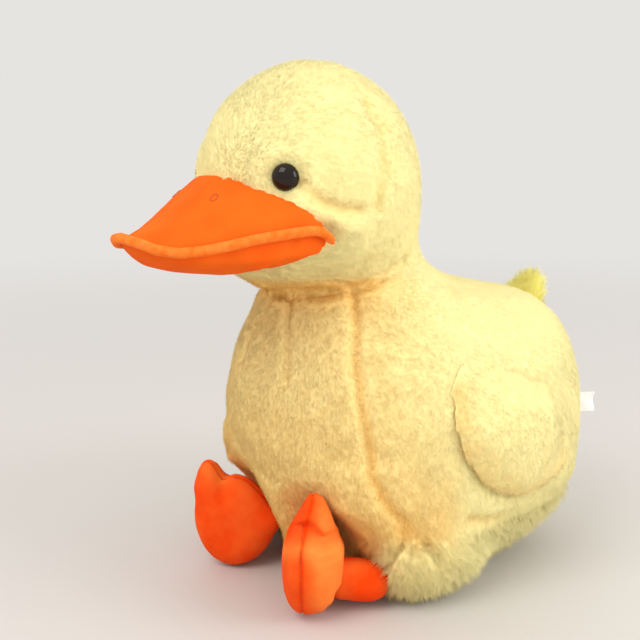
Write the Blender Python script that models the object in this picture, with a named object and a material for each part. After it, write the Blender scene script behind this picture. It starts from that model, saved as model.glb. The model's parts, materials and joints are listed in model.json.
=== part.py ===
"""Stuffed plush duck that sits with its legs stretched forward.

Metres, +Z up. The duck faces -Y and its left side is +X. The origin is on the
surface it sits on, under the middle of the body. Each sewn cover is a thin
shell, and the filling is a solid of its own inside it.
"""
import math

import bmesh
import bpy
from mathutils import Matrix, Vector
from mathutils.bvhtree import BVHTree

# Cloth and clearances
GAP = 0.0003
FUR_WALL = 0.0040
VELBOA_WALL = 0.0024
OVERRUN = 0.0200
SHARPEST_CORNER = 1.4
MERGE_DISTANCE = 0.000002
SMOOTH_ANGLE = math.radians(50)
SMALLEST_SHARE = 0.01
JOINT_CLEARANCE = 0.0009

# Body, from the seat to the neck seam
BODY_HALF_WIDTH = 0.1240
BODY_FRONT_DEPTH = 0.1480
BODY_BACK_DEPTH = 0.1680
NECK_TOP_HEIGHT = 0.2600
BODY_SEGMENTS = 24
BODY_SQUARENESS = 2.3

# Each level: shares of the neck's height, half width, front reach and back reach
BODY_LEVEL_SHARES = (
    (0.000, 0.50, 0.50, 0.57),
    (0.020, 0.60, 0.60, 0.70),
    (0.070, 0.71, 0.67, 0.81),
    (0.150, 0.85, 0.79, 0.90),
    (0.250, 0.99, 0.93, 0.96),
    (0.330, 1.00, 0.98, 0.98),
    (0.430, 1.00, 0.99, 1.00),
    (0.540, 0.98, 1.00, 0.99),
    (0.660, 0.91, 0.97, 0.96),
    (0.750, 0.81, 0.93, 0.89),
    (0.815, 0.71, 0.88, 0.74),
    (0.865, 0.62, 0.83, 0.36),
    (0.910, 0.55, 0.77, 0.09),
    (0.955, 0.48, 0.70, 0.01),
    (1.000, 0.36, 0.60, -0.05),
)

# The lap, where the belly is pressed back behind the feet
LAP_FRONT_Y = -0.0910
LAP_HEIGHT = 0.0690
LAP_BLEND_HEIGHT = 0.0450

# Body panels
BASE_SEAM_HEIGHT = 0.0110
CHEST_SEAM_INSET_WIDTH = 0.0340
NECK_SEAM_Y = -0.0450
# Where a chest seam runs: shares of the neck's height and of the widest panel's half width
CHEST_SEAM_SHARES = (
    (0.04, 0.62),
    (0.15, 0.84),
    (0.30, 1.00),
    (0.56, 0.97),
    (0.86, 0.66),
    (0.92, 0.56),
    (0.97, 0.38),
    (1.10, 0.34),
)

# Head, from the chin to the crown
HEAD_CENTRE_Y = -0.0930
HEAD_HALF_WIDTH = 0.0840
HEAD_FRONT_DEPTH = 0.0840
HEAD_BACK_DEPTH = 0.0870
CHIN_HEIGHT = 0.2330
HEAD_HEIGHT = 0.1670
HEAD_SEGMENTS = 18

# Each level: shares of the chin-to-crown height, half width, front and back reach
HEAD_LEVEL_SHARES = (
    (0.012, 0.30, 0.44, 0.22),
    (0.045, 0.52, 0.66, 0.58),
    (0.095, 0.70, 0.81, 0.86),
    (0.170, 0.85, 0.92, 0.99),
    (0.270, 0.95, 0.98, 1.00),
    (0.390, 1.00, 1.00, 0.99),
    (0.510, 1.00, 0.99, 0.97),
    (0.620, 0.96, 0.95, 0.93),
    (0.730, 0.87, 0.85, 0.84),
    (0.830, 0.73, 0.71, 0.70),
    (0.910, 0.55, 0.53, 0.53),
    (0.965, 0.34, 0.33, 0.33),
    (0.990, 0.18, 0.17, 0.17),
)

# Bill
BILL_LENGTH = 0.1200
BILL_HALF_WIDTH = 0.0715
BILL_TIP_Y = -0.2470
BILL_UPPER_HEIGHT = 0.0560
BILL_ROOF_POWER = 1.6
BILL_LOWER_HEIGHT = 0.0250
MOUTH_HEIGHT = 0.2790
MOUTH_DIP_DEPTH = 0.0130
PIPING_RADIUS = 0.0034
BILL_SEGMENTS = 16
PIPING_SIDES = 8

# Each station: shares of the bill's length from the tip, half width, upper and lower height
BILL_STATION_SHARES = (
    (0.03, 0.22, 0.10, 0.14),
    (0.09, 0.38, 0.16, 0.33),
    (0.18, 0.53, 0.26, 0.54),
    (0.30, 0.66, 0.40, 0.69),
    (0.43, 0.77, 0.56, 0.78),
    (0.57, 0.87, 0.73, 0.87),
    (0.70, 0.94, 0.87, 0.96),
    (0.82, 0.98, 0.95, 1.00),
    (0.93, 1.00, 0.99, 0.94),
    (1.12, 1.00, 1.00, 0.78),
)
# Where the mouth line lies between its lowest point and the corners
MOUTH_LINE_SHARES = (
    (0.00, 0.10),
    (0.10, 0.64),
    (0.20, 0.77),
    (0.35, 0.55),
    (0.50, 0.20),
    (0.65, -0.08),
    (0.80, -0.33),
    (0.88, -0.25),
    (0.95, 0.08),
    (1.20, 0.30),
)

# Nostrils, stitched ovals on the upper bill
NOSTRIL_HALF_LENGTH = 0.0042
NOSTRIL_HALF_WIDTH = 0.0024
NOSTRIL_THICKNESS = 0.0010
NOSTRIL_OFFSET_X = 0.0250
NOSTRIL_ALONG_SHARE = 0.470
# Each ring: shares of the nostril's thickness and of its outline
NOSTRIL_RING_SHARES = (
    (-1.0, 0.9),
    (0.0, 1.0),
    (1.0, 0.9),
    (1.5, 0.5),
)

# Safety eyes
EYE_RADIUS = 0.0100
EYE_DOME_HEIGHT = 0.0075
EYE_STEM_RADIUS = 0.0022
EYE_STEM_LENGTH = 0.0150
EYE_ABOVE_BILL_HEIGHT = 0.0120
EYE_SEAT_ROUNDS = 4
EYE_AZIMUTH = math.radians(41.5)
WASHER_RADIUS = 0.0080
WASHER_THICKNESS = 0.0016
WASHER_SETBACK = 0.0018
EYE_RIM = 0.0015
EYE_DOME_STEPS = 5
EYE_SEGMENTS = 16

# Wings, padded flaps sewn to the flanks along the front edge
WING_FRONT_Y = -0.0600
WING_LENGTH = 0.1500
WING_HEIGHT = 0.1150
WING_CENTRE_HEIGHT = 0.1450
WING_THICKNESS = 0.0170
WING_BACKING = 0.0080
WING_SEGMENTS = 18
WING_RING_SHARES = (1.00, 0.86, 0.62, 0.32)
WING_OPENING_DEPTH = 0.0060
WING_EDGE_SHARE = 0.97
WING_TIP_TAPER_SHARE = 0.40
WING_TIP_DROP = 0.0380

# Thighs, furry and sewn to the body low on each side
THIGH_CENTRE_X = 0.0800
THIGH_REAR_Y = 0.0150
THIGH_LENGTH = 0.1080
THIGH_RADIUS = 0.0380
THIGH_CENTRE_HEIGHT = 0.0360
LIMB_SEGMENTS = 14
THIGH_RING_SHARES = (
    (0.02, 0.30),
    (0.10, 0.66),
    (0.26, 0.92),
    (0.46, 1.00),
    (0.66, 0.98),
    (0.84, 0.86),
    (0.95, 0.62),
    (0.99, 0.34),
)

# Legs, a plump tube with a ball end at the hip and at the ankle
LEG_RADIUS = 0.0160
LEG_MOUTH_RADIUS = 0.0080
HIP_X = 0.0740
HIP_Y = -0.0940
HIP_HEIGHT = 0.0210
LEG_LENGTH = 0.0350
LEG_TURN_IN = math.radians(34)
LEG_RISE = 0.0040
LEG_END_STEPS = 4

# Feet: padded paddles that stand on their heels, toes up, soles turned inward
FOOT_HALF_WIDTH = 0.0400
FOOT_HEIGHT = 0.0900
FOOT_THICKNESS = 0.0490
FOOT_TOE_IN = math.radians(41)
FOOT_SEGMENTS = 24
FOOT_LIFT = 0.0006
FOOT_AHEAD = 0.0120
FOOT_RING_SHARES = (1.00, 0.93, 0.76, 0.45)
SOLE_BULGE_SHARE = 0.34
FOOT_LOW_FULLNESS_SHARE = 0.35
# Each outline point: angle from toes up towards the outer side in degrees, reach share
FOOT_OUTLINE_SHARES = (
    (0, 0.72),
    (19, 0.78),
    (35, 1.15),
    (50, 1.07),
    (75, 0.88),
    (118, 0.92),
    (154, 0.98),
    (180, 0.97),
    (205, 0.90),
    (233, 0.88),
    (258, 0.90),
    (270, 0.88),
    (292, 0.72),
    (318, 0.66),
    (342, 0.70),
)

# Tail tuft
TAIL_BASE_Y = 0.1340
TAIL_BASE_HEIGHT = 0.1760
TAIL_LENGTH = 0.0600
TAIL_HALF_WIDTH = 0.0230
TAIL_HALF_THICKNESS = 0.0130
TAIL_LEAN = math.radians(38)
TAIL_RING_SHARES = (
    (0.00, 0.90),
    (0.25, 1.00),
    (0.50, 0.92),
    (0.75, 0.68),
    (0.92, 0.38),
)
TAIL_SEGMENTS = 14

# Care label, a folded tab of white satin
LABEL_WIDTH = 0.0170
LABEL_LENGTH = 0.0140
LABEL_THICKNESS = 0.0010
LABEL_HEIGHT = 0.1180
LABEL_AZIMUTH = math.radians(152)
LABEL_ROOT_SHARE = 0.20

# Colours, base colour and roughness
FUR_YELLOW = (0.93, 0.82, 0.40)
CHEST_YELLOW = (0.86, 0.70, 0.32)
TAIL_YELLOW = (0.95, 0.88, 0.25)
VELBOA_ORANGE = (0.90, 0.18, 0.02)
PIPING_ORANGE = (0.88, 0.25, 0.05)
EYE_BLACK = (0.01, 0.01, 0.01)
WASHER_WHITE = (0.80, 0.80, 0.80)
FILLING_WHITE = (0.88, 0.88, 0.86)
LABEL_WHITE = (0.90, 0.90, 0.88)
CLOTH_ROUGHNESS = 0.9
GLOSS_ROUGHNESS = 0.12
PLAIN_ROUGHNESS = 0.5

SIDES = (("left", 1), ("right", -1))


def clear_scene():
    """Removes every object and mesh that is there."""
    for item in list(bpy.data.objects):
        bpy.data.objects.remove(item, do_unlink=True)
    for mesh in list(bpy.data.meshes):
        bpy.data.meshes.remove(mesh)


def make_material(name, colour, roughness):
    """Gives a plain Principled material."""
    material = bpy.data.materials.new(name)
    material.use_nodes = True
    shader = material.node_tree.nodes["Principled BSDF"]
    shader.inputs["Base Color"].default_value = (*colour, 1.0)
    shader.inputs["Roughness"].default_value = roughness
    return material


def bmesh_to_mesh(bm, name, turn_out=True):
    """Turns a bmesh into a mesh, by default with its faces pointing out."""
    if turn_out:
        bmesh.ops.recalc_face_normals(bm, faces=bm.faces)
    mesh = bpy.data.meshes.new(name)
    bm.to_mesh(mesh)
    bm.free()
    return mesh


def loft(name, rings, hubs=True):
    """Skins closed rings of equal count in order, caps both ends and splits the faces into triangles."""
    bm = bmesh.new()
    rows = [[bm.verts.new(point) for point in ring] for ring in rings]
    count = len(rows[0])
    for low, high in zip(rows, rows[1:]):
        for index in range(count):
            after = (index + 1) % count
            bm.faces.new((low[index], low[after], high[after], high[index]))
    for row in (rows[0], rows[-1]):
        if not hubs:
            bm.faces.new(row)
            continue
        hub = bm.verts.new(sum((vert.co for vert in row), Vector()) / count)
        for index in range(count):
            bm.faces.new((row[index], row[(index + 1) % count], hub))
    bmesh.ops.recalc_face_normals(bm, faces=bm.faces)
    bmesh.ops.triangulate(bm, faces=bm.faces)
    return bmesh_to_mesh(bm, name)


def offset_mesh(mesh, distance, name):
    """Copies a mesh with each surface moved along its normal."""
    bm = bmesh.new()
    bm.from_mesh(mesh)
    bm.normal_update()
    places = []
    for vert in bm.verts:
        thickening = min(vert.calc_shell_factor(), SHARPEST_CORNER)
        places.append(vert.co + vert.normal * distance * thickening)
    for vert, place in zip(bm.verts, places):
        vert.co = place
    return bmesh_to_mesh(bm, name)


def in_triangles(mesh):
    """Copies a mesh with every face split into triangles."""
    bm = bmesh.new()
    bm.from_mesh(mesh)
    bmesh.ops.triangulate(bm, faces=bm.faces)
    return bmesh_to_mesh(bm, mesh.name, turn_out=False)


def combine(mesh, tool, operation="DIFFERENCE"):
    """Cuts, joins or intersects one mesh with another."""
    target = bpy.data.objects.new("work_target", in_triangles(mesh))
    cutter = bpy.data.objects.new("work_cutter", in_triangles(tool))
    for item in (target, cutter):
        bpy.context.scene.collection.objects.link(item)
    modifier = target.modifiers.new("cut", "BOOLEAN")
    modifier.object = cutter
    modifier.operation = operation
    modifier.solver = "EXACT"
    graph = bpy.context.evaluated_depsgraph_get()
    result = bpy.data.meshes.new_from_object(target.evaluated_get(graph))
    for item in (target, cutter):
        bpy.data.objects.remove(item, do_unlink=True)
    bm = bmesh.new()
    bm.from_mesh(result)
    bmesh.ops.remove_doubles(bm, verts=bm.verts, dist=MERGE_DISTANCE)
    bmesh.ops.dissolve_degenerate(bm, edges=bm.edges, dist=MERGE_DISTANCE)
    return bmesh_to_mesh(bm, mesh.name, turn_out=False)


def loose_parts(mesh):
    """Splits a mesh into its separate closed bodies, the largest first."""
    bm = bmesh.new()
    bm.from_mesh(mesh)
    bm.verts.ensure_lookup_table()
    seen = set()
    islands = []
    for start in bm.verts:
        if start.index in seen:
            continue
        seen.add(start.index)
        stack = [start]
        island = set()
        while stack:
            vert = stack.pop()
            island.add(vert.index)
            for edge in vert.link_edges:
                other = edge.other_vert(vert)
                if other.index not in seen:
                    seen.add(other.index)
                    stack.append(other)
        islands.append(island)
    bm.free()
    meshes = []
    for island in sorted(islands, key=len, reverse=True):
        piece = bmesh.new()
        piece.from_mesh(mesh)
        piece.verts.ensure_lookup_table()
        unwanted = [vert for vert in piece.verts if vert.index not in island]
        bmesh.ops.delete(piece, geom=unwanted, context="VERTS")
        meshes.append(bmesh_to_mesh(piece, mesh.name, turn_out=False))
    return meshes


def mesh_middle(mesh):
    """Gives the mean of a mesh's vertices."""
    return sum((vert.co for vert in mesh.vertices), Vector()) / len(mesh.vertices)


def box(name, low, high):
    """Makes a box between two corners."""
    outline = ((low[0], low[1]), (high[0], low[1]), (high[0], high[1]), (low[0], high[1]))
    rings = [[Vector((x, y, z)) for x, y in outline] for z in (low[2], high[2])]
    return loft(name, rings, hubs=False)


def turned(name, profile, segments, place):
    """Spins (radius, height) points round Z and sets the result in its place."""
    rings = []
    for radius, height in profile:
        ring = []
        for index in range(segments):
            angle = math.tau * index / segments
            ring.append(place @ Vector((radius * math.cos(angle), radius * math.sin(angle), height)))
        rings.append(ring)
    return loft(name, rings, hubs=False)


def aim(place, direction):
    """Gives the matrix that puts local +Z along a direction at a place."""
    return Matrix.Translation(place) @ direction.to_track_quat("Z", "Y").to_matrix().to_4x4()


def surface_hit(mesh, start, direction):
    """Finds where a ray from inside a mesh leaves it, and the normal there."""
    bm = bmesh.new()
    bm.from_mesh(mesh)
    tree = BVHTree.FromBMesh(bm)
    bm.free()
    place, normal, _, _ = tree.ray_cast(start, direction)
    if normal.dot(direction) < 0:
        normal = -normal
    return place, normal


def rounded(value, squareness):
    """Bends a sine or cosine so that an oval becomes squarer."""
    return math.copysign(abs(value) ** (2 / squareness), value)


def oval_ring(half_width, front, back, height, segments, squareness=2.0):
    """Gives an oval ring level with the ground between a front and a back reach."""
    middle = (front + back) / 2
    half_depth = (back - front) / 2
    points = []
    for index in range(segments):
        angle = math.tau * (index + 0.5) / segments
        x = half_width * rounded(math.sin(angle), squareness)
        y = middle - half_depth * rounded(math.cos(angle), squareness)
        points.append(Vector((x, y, height)))
    return points


def mirrored(mesh, side, name):
    """Gives a mesh as it is for the left side, or mirrored for the right side."""
    bm = bmesh.new()
    bm.from_mesh(mesh)
    for vert in bm.verts:
        vert.co.x *= side
    if side < 0:
        bmesh.ops.reverse_faces(bm, faces=bm.faces)
    return bmesh_to_mesh(bm, name, turn_out=False)


def body_outside():
    """Makes the outer form of the stuffed body, flat under the seat and pressed in behind the feet."""
    rings = []
    for up, width, front, back in BODY_LEVEL_SHARES:
        height = NECK_TOP_HEIGHT * up
        ring = oval_ring(BODY_HALF_WIDTH * width, -BODY_FRONT_DEPTH * front, BODY_BACK_DEPTH * back,
                         height, BODY_SEGMENTS, BODY_SQUARENESS)
        rise = min(1.0, max(0.0, (height - LAP_HEIGHT) / LAP_BLEND_HEIGHT))
        furthest = LAP_FRONT_Y - (BODY_FRONT_DEPTH + LAP_FRONT_Y) * rise
        for point in ring:
            point.y = max(point.y, furthest)
        rings.append(ring)
    return loft("body", rings)


def head_outside():
    """Makes the outer form of the stuffed head."""
    rings = []
    for up, width, front, back in HEAD_LEVEL_SHARES:
        height = CHIN_HEIGHT + HEAD_HEIGHT * up
        rings.append(oval_ring(HEAD_HALF_WIDTH * width, HEAD_CENTRE_Y - HEAD_FRONT_DEPTH * front,
                               HEAD_CENTRE_Y + HEAD_BACK_DEPTH * back, height, HEAD_SEGMENTS))
    return loft("head", rings)


def seam_wall(line, low, high):
    """Makes an upright wall, as thick as the gap, along (x, z) points and between two y places."""
    rings = []
    for y in (low, high):
        near = [Vector((x - GAP / 2, y, z)) for x, z in line]
        far = [Vector((x + GAP / 2, y, z)) for x, z in reversed(line)]
        rings.append(near + far)
    return loft("seam", rings, hubs=False)


def body_pieces(outside):
    """Cuts the body's cover into its sewn panels and makes its filling."""
    reach = BODY_BACK_DEPTH + OVERRUN
    top = NECK_TOP_HEIGHT + OVERRUN
    cover = combine(outside, offset_mesh(outside, -FUR_WALL, "cavity"))
    _, width, front, back = BODY_LEVEL_SHARES[-1]
    neck = [oval_ring(BODY_HALF_WIDTH * width - FUR_WALL, FUR_WALL - BODY_FRONT_DEPTH * front,
                      BODY_BACK_DEPTH * back - FUR_WALL, height, BODY_SEGMENTS, BODY_SQUARENESS)
            for height in (NECK_TOP_HEIGHT - 2 * FUR_WALL, top)]
    cover = combine(cover, loft("neck", neck))
    panel_half = BODY_HALF_WIDTH - CHEST_SEAM_INSET_WIDTH
    for _, side in SIDES:
        line = [(panel_half * width * side, NECK_TOP_HEIGHT * up)
                for up, width in CHEST_SEAM_SHARES]
        line[0] = (line[0][0], BASE_SEAM_HEIGHT - GAP / 2)
        cover = combine(cover, seam_wall(line, -reach, NECK_SEAM_Y))
    back_line = ((0.0, BASE_SEAM_HEIGHT - GAP / 2), (0.0, top))
    cover = combine(cover, seam_wall(back_line, NECK_SEAM_Y, reach))
    slab = box("slab", (-reach, -reach, BASE_SEAM_HEIGHT - GAP), (reach, reach, BASE_SEAM_HEIGHT))
    cover = combine(cover, slab)
    panels = {}
    for part in loose_parts(cover):
        middle = mesh_middle(part)
        if middle.z < BASE_SEAM_HEIGHT:
            panels["base_panel"] = part
        elif middle.x > panel_half / 2:
            panels["side_panel_left"] = part
        elif middle.x < -panel_half / 2:
            panels["side_panel_right"] = part
        else:
            panels["chest_panel"] = part
    return panels, offset_mesh(outside, -FUR_WALL - GAP, "body_filling")


def head_pieces(outside, body_cutter, eye_places):
    """Makes the face and back-of-head panels and the head's filling."""
    cover = combine(outside, offset_mesh(outside, -FUR_WALL, "cavity"))
    cover = combine(cover, body_cutter)
    reach = HEAD_HALF_WIDTH + OVERRUN
    slab = box("slab", (-reach, HEAD_CENTRE_Y - GAP / 2, CHIN_HEIGHT - OVERRUN),
               (reach, HEAD_CENTRE_Y + GAP / 2, CHIN_HEIGHT + HEAD_HEIGHT + OVERRUN))
    cover = combine(cover, slab)
    filling = combine(offset_mesh(outside, -FUR_WALL - GAP, "head_filling"), body_cutter)
    for place, normal in eye_places:
        hole = turned("hole", ((EYE_STEM_RADIUS + GAP, -EYE_STEM_LENGTH - OVERRUN),
                               (EYE_STEM_RADIUS + GAP, OVERRUN)), EYE_SEGMENTS, aim(place, normal))
        cover = combine(cover, hole)
        pocket = turned("pocket", ((WASHER_RADIUS + GAP, -EYE_STEM_LENGTH - GAP),
                                   (WASHER_RADIUS + GAP, 0.0)), EYE_SEGMENTS, aim(place, normal))
        filling = combine(filling, pocket)
    panels = {}
    for part in loose_parts(cover)[:2]:
        behind = mesh_middle(part).y > HEAD_CENTRE_Y
        panels["back_of_head_panel" if behind else "face_panel"] = part
    return panels, filling


def mouth_height(share):
    """Gives the height of the mouth line at a share of the bill's length from the tip."""
    for (low, low_dip), (high, high_dip) in zip(MOUTH_LINE_SHARES, MOUTH_LINE_SHARES[1:]):
        if share <= high:
            part = max(0.0, (share - low) / (high - low))
            return MOUTH_HEIGHT - MOUTH_DIP_DEPTH * (low_dip + (high_dip - low_dip) * part)
    return MOUTH_HEIGHT


def bill_outside():
    """Makes the outer form of both halves of the bill, tip first."""
    rings = []
    for along, width, above, below in BILL_STATION_SHARES:
        ring = []
        for index in range(BILL_SEGMENTS):
            angle = math.tau * index / BILL_SEGMENTS
            rise = BILL_LOWER_HEIGHT * below * math.sin(angle)
            if rise > 0:
                rise = BILL_UPPER_HEIGHT * above * math.sin(angle) ** BILL_ROOF_POWER
            ring.append(Vector((BILL_HALF_WIDTH * width * math.cos(angle), BILL_TIP_Y + BILL_LENGTH * along,
                                mouth_height(along) + rise)))
        rings.append(ring)
    return loft("bill", rings)


def piping_tube(radius):
    """Makes the piping round the bill's edge at the mouth line, from corner to corner."""
    right = []
    for along, width, _, _ in BILL_STATION_SHARES:
        right.append(Vector((BILL_HALF_WIDTH * width, BILL_TIP_Y + BILL_LENGTH * along, mouth_height(along))))
    tip = Vector((0.0, BILL_TIP_Y, mouth_height(0.0)))
    route = [Vector((-point.x, point.y, point.z)) for point in reversed(right)] + [tip] + right
    rings = []
    for index, point in enumerate(route):
        ahead = route[min(index + 1, len(route) - 1)] - route[max(index - 1, 0)]
        across = ahead.cross(Vector((0, 0, 1))).normalized()
        rise = across.cross(ahead).normalized()
        ring = []
        for step in range(PIPING_SIDES):
            angle = math.tau * step / PIPING_SIDES
            ring.append(point + across * radius * math.cos(angle) + rise * radius * math.sin(angle))
        rings.append(ring)
    return loft("mouth_piping", rings)


def upper_block(drop):
    """Makes the space above the mouth line, lowered by a clearance."""
    reach = BILL_HALF_WIDTH + OVERRUN
    low = [(along, mouth_height(along) - drop) for along, _ in MOUTH_LINE_SHARES]
    line = [(BILL_TIP_Y - OVERRUN, low[0][1])] + [(BILL_TIP_Y + BILL_LENGTH * along, z) for along, z in low]
    top = CHIN_HEIGHT + HEAD_HEIGHT
    outline = line + [(line[-1][0], top), (line[0][0], top)]
    return loft("block", [[Vector((x, y, z)) for y, z in outline] for x in (-reach, reach)], hubs=False)


def bill_pieces(head_cutter):
    """Makes the upper and lower bill, their filling, the piping and the nostrils."""
    outside = bill_outside()
    piping = combine(piping_tube(PIPING_RADIUS), head_cutter)
    groove = piping_tube(PIPING_RADIUS + GAP)
    cover = combine(outside, offset_mesh(outside, -VELBOA_WALL, "cavity"))
    cover = combine(combine(cover, head_cutter), groove)
    filling = offset_mesh(outside, -VELBOA_WALL - GAP, "bill_filling")
    filling = combine(combine(filling, head_cutter), groove)
    upper = combine(cover, upper_block(0.0), "INTERSECT")
    lower = combine(cover, upper_block(GAP))
    pieces = {
        "bill_upper": loose_parts(upper)[0],
        "bill_lower": loose_parts(lower)[0],
        "bill_filling": loose_parts(filling)[0],
        "mouth_piping": loose_parts(piping)[0],
    }
    bill_cutter = offset_mesh(outside, GAP, "bill_cutter")
    for word, side in SIDES:
        start = Vector((NOSTRIL_OFFSET_X * side, BILL_TIP_Y + BILL_LENGTH * NOSTRIL_ALONG_SHARE,
                        mouth_height(NOSTRIL_ALONG_SHARE)))
        place, normal = surface_hit(outside, start, Vector((0, 0, 1)))
        seat = aim(place, normal)
        rings = []
        for rise, share in NOSTRIL_RING_SHARES:
            ring = []
            for index in range(EYE_SEGMENTS):
                angle = math.tau * index / EYE_SEGMENTS
                ring.append(seat @ Vector((NOSTRIL_HALF_WIDTH * share * math.cos(angle),
                                           NOSTRIL_HALF_LENGTH * share * math.sin(angle),
                                           NOSTRIL_THICKNESS * rise)))
            rings.append(ring)
        pieces["nostril_" + word] = combine(loft("nostril", rings), bill_cutter)
    return pieces, bill_cutter


def eye_places_on(head, bill):
    """Finds where the eye stems leave the head, a rise above the bill's roof, and the way they point."""
    places = []
    top = CHIN_HEIGHT + HEAD_HEIGHT + OVERRUN
    for _, side in SIDES:
        direction = Vector((math.sin(EYE_AZIMUTH) * side, -math.cos(EYE_AZIMUTH), 0.0))
        height = CHIN_HEIGHT + HEAD_HEIGHT / 2
        for _ in range(EYE_SEAT_ROUNDS):
            place, _ = surface_hit(head, Vector((0.0, HEAD_CENTRE_Y, height)), direction)
            roof, _ = surface_hit(bill, Vector((place.x, place.y, top)), Vector((0, 0, -1)))
            height = roof.z + EYE_ABOVE_BILL_HEIGHT
        places.append(surface_hit(head, Vector((0.0, HEAD_CENTRE_Y, height)), direction))
    return places


def eye_pieces(places):
    """Makes each eye with its stem, and its locking washer."""
    pieces = {}
    seat = GAP
    for (word, _), (place, normal) in zip(SIDES, places):
        dome = [(EYE_STEM_RADIUS, -EYE_STEM_LENGTH), (EYE_STEM_RADIUS, seat)]
        for step in range(EYE_DOME_STEPS):
            angle = math.pi / 2 * step / EYE_DOME_STEPS
            rise = (EYE_DOME_HEIGHT - EYE_RIM) * math.sin(angle)
            dome.append((EYE_RADIUS * math.cos(angle), seat + EYE_RIM + rise))
        dome.insert(2, (EYE_RADIUS, seat))
        pieces["eye_" + word] = turned("eye", dome, EYE_SEGMENTS, aim(place, normal))
        outer = -FUR_WALL - WASHER_SETBACK
        rim = ((WASHER_RADIUS, outer - WASHER_THICKNESS), (WASHER_RADIUS, outer))
        bore = ((EYE_STEM_RADIUS + GAP, outer - WASHER_THICKNESS - OVERRUN),
                (EYE_STEM_RADIUS + GAP, outer + OVERRUN))
        disc = turned("washer", rim, EYE_SEGMENTS, aim(place, normal))
        pieces["eye_washer_" + word] = combine(disc, turned("bore", bore, EYE_SEGMENTS, aim(place, normal)))
    return pieces


def body_side_x(y, z):
    """Gives how far the body's side reaches in X at a place along it."""
    up = z / NECK_TOP_HEIGHT
    for low, high in zip(BODY_LEVEL_SHARES, BODY_LEVEL_SHARES[1:]):
        if up <= high[0]:
            part = (up - low[0]) / (high[0] - low[0])
            _, width, front, back = (a + (b - a) * part for a, b in zip(low, high))
            break
    near, far = -BODY_FRONT_DEPTH * front, BODY_BACK_DEPTH * back
    across = abs(2 * (y - (near + far) / 2) / (far - near))
    left_over = max(SMALLEST_SHARE, 1 - across ** BODY_SQUARENESS)
    return BODY_HALF_WIDTH * width * left_over ** (1 / BODY_SQUARENESS)


def wing_hinge():
    """Gives the middle of the left wing's sewn front edge."""
    y = WING_FRONT_Y + WING_OPENING_DEPTH
    return Vector((body_side_x(y, WING_CENTRE_HEIGHT), y, WING_CENTRE_HEIGHT))


def wing_point(angle, share, lift):
    """Gives a point on the left wing, at a share of its outline and a lift off the body."""
    taper = 1 - WING_TIP_TAPER_SHARE * (1 + math.cos(angle)) / 2
    y = WING_FRONT_Y + WING_LENGTH / 2 + WING_LENGTH / 2 * math.cos(angle) * share
    z = WING_CENTRE_HEIGHT + WING_HEIGHT / 2 * math.sin(angle) * share * taper
    z -= WING_TIP_DROP * (y - WING_FRONT_Y) / WING_LENGTH
    return Vector((body_side_x(y, z) + lift, y, z))


def wing_mesh(size_share, thickness, backing):
    """Makes the padded leaf that lies on the left flank."""
    rings = []
    for share in reversed(WING_RING_SHARES):
        rings.append((share, -backing))
    for share in WING_RING_SHARES:
        rings.append((share, thickness * math.sqrt(1 - (share * WING_EDGE_SHARE) ** 2)))
    points = []
    for share, lift in rings:
        points.append([wing_point(math.tau * index / WING_SEGMENTS, share * size_share, lift)
                       for index in range(WING_SEGMENTS)])
    return loft("wing", points)


def wing_pieces(body_cutter, low_cutters):
    """Makes the left wing's cover, open along its sewn front edge, and its filling."""
    outside = wing_mesh(1.0, WING_THICKNESS, WING_BACKING)
    skin = offset_mesh(body_cutter, VELBOA_WALL, "lining")
    whole = combine(outside, body_cutter)
    inner = combine(offset_mesh(outside, -VELBOA_WALL, "cavity"), skin)
    cover = combine(whole, inner)
    mouth = box("mouth", (0.0, WING_FRONT_Y - OVERRUN, 0.0),
                (BODY_HALF_WIDTH + OVERRUN, WING_FRONT_Y + WING_OPENING_DEPTH, NECK_TOP_HEIGHT))
    cover = loose_parts(combine(cover, mouth))[0]
    padding = combine(offset_mesh(outside, -VELBOA_WALL - GAP, "wing_filling"),
                      offset_mesh(body_cutter, VELBOA_WALL + GAP, "lining"))
    padding = loose_parts(combine(padding, mouth))[0]
    for cutter in low_cutters:
        cover = combine(cover, cutter)
        padding = combine(padding, cutter)
    return cover, padding


def thigh_outside():
    """Makes the outer form of the left thigh, a plump lump along the body's low side."""
    rings = []
    for along, reach in reversed(THIGH_RING_SHARES):
        radius = THIGH_RADIUS * reach
        y = THIGH_REAR_Y - THIGH_LENGTH * along
        ring = []
        for index in range(LIMB_SEGMENTS):
            angle = math.tau * index / LIMB_SEGMENTS
            z = max(0.0, THIGH_CENTRE_HEIGHT + radius * math.sin(angle))
            ring.append(Vector((THIGH_CENTRE_X + radius * math.cos(angle), y, z)))
        rings.append(ring)
    return loft("thigh", rings)


def ankle_place():
    """Gives the middle of the left ankle's ball."""
    flat = Vector((HIP_X, HIP_Y, HIP_HEIGHT))
    return flat + Vector((-math.sin(LEG_TURN_IN) * LEG_LENGTH, -math.cos(LEG_TURN_IN) * LEG_LENGTH, LEG_RISE))


def leg_mesh(radius):
    """Makes the left leg as a tube with round ends centred on the hip and the ankle."""
    hip = Vector((HIP_X, HIP_Y, HIP_HEIGHT))
    along = ankle_place() - hip
    place = aim(hip, along.normalized())
    profile = []
    for step in range(1, LEG_END_STEPS + 1):
        angle = math.pi / 2 * step / LEG_END_STEPS
        profile.append((radius * math.sin(angle), -radius * math.cos(angle)))
    middle = (radius, along.length / 2)
    far = [(near, along.length - height) for near, height in reversed(profile)]
    return turned("leg", profile + [middle] + far, LIMB_SEGMENTS, place)


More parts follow.
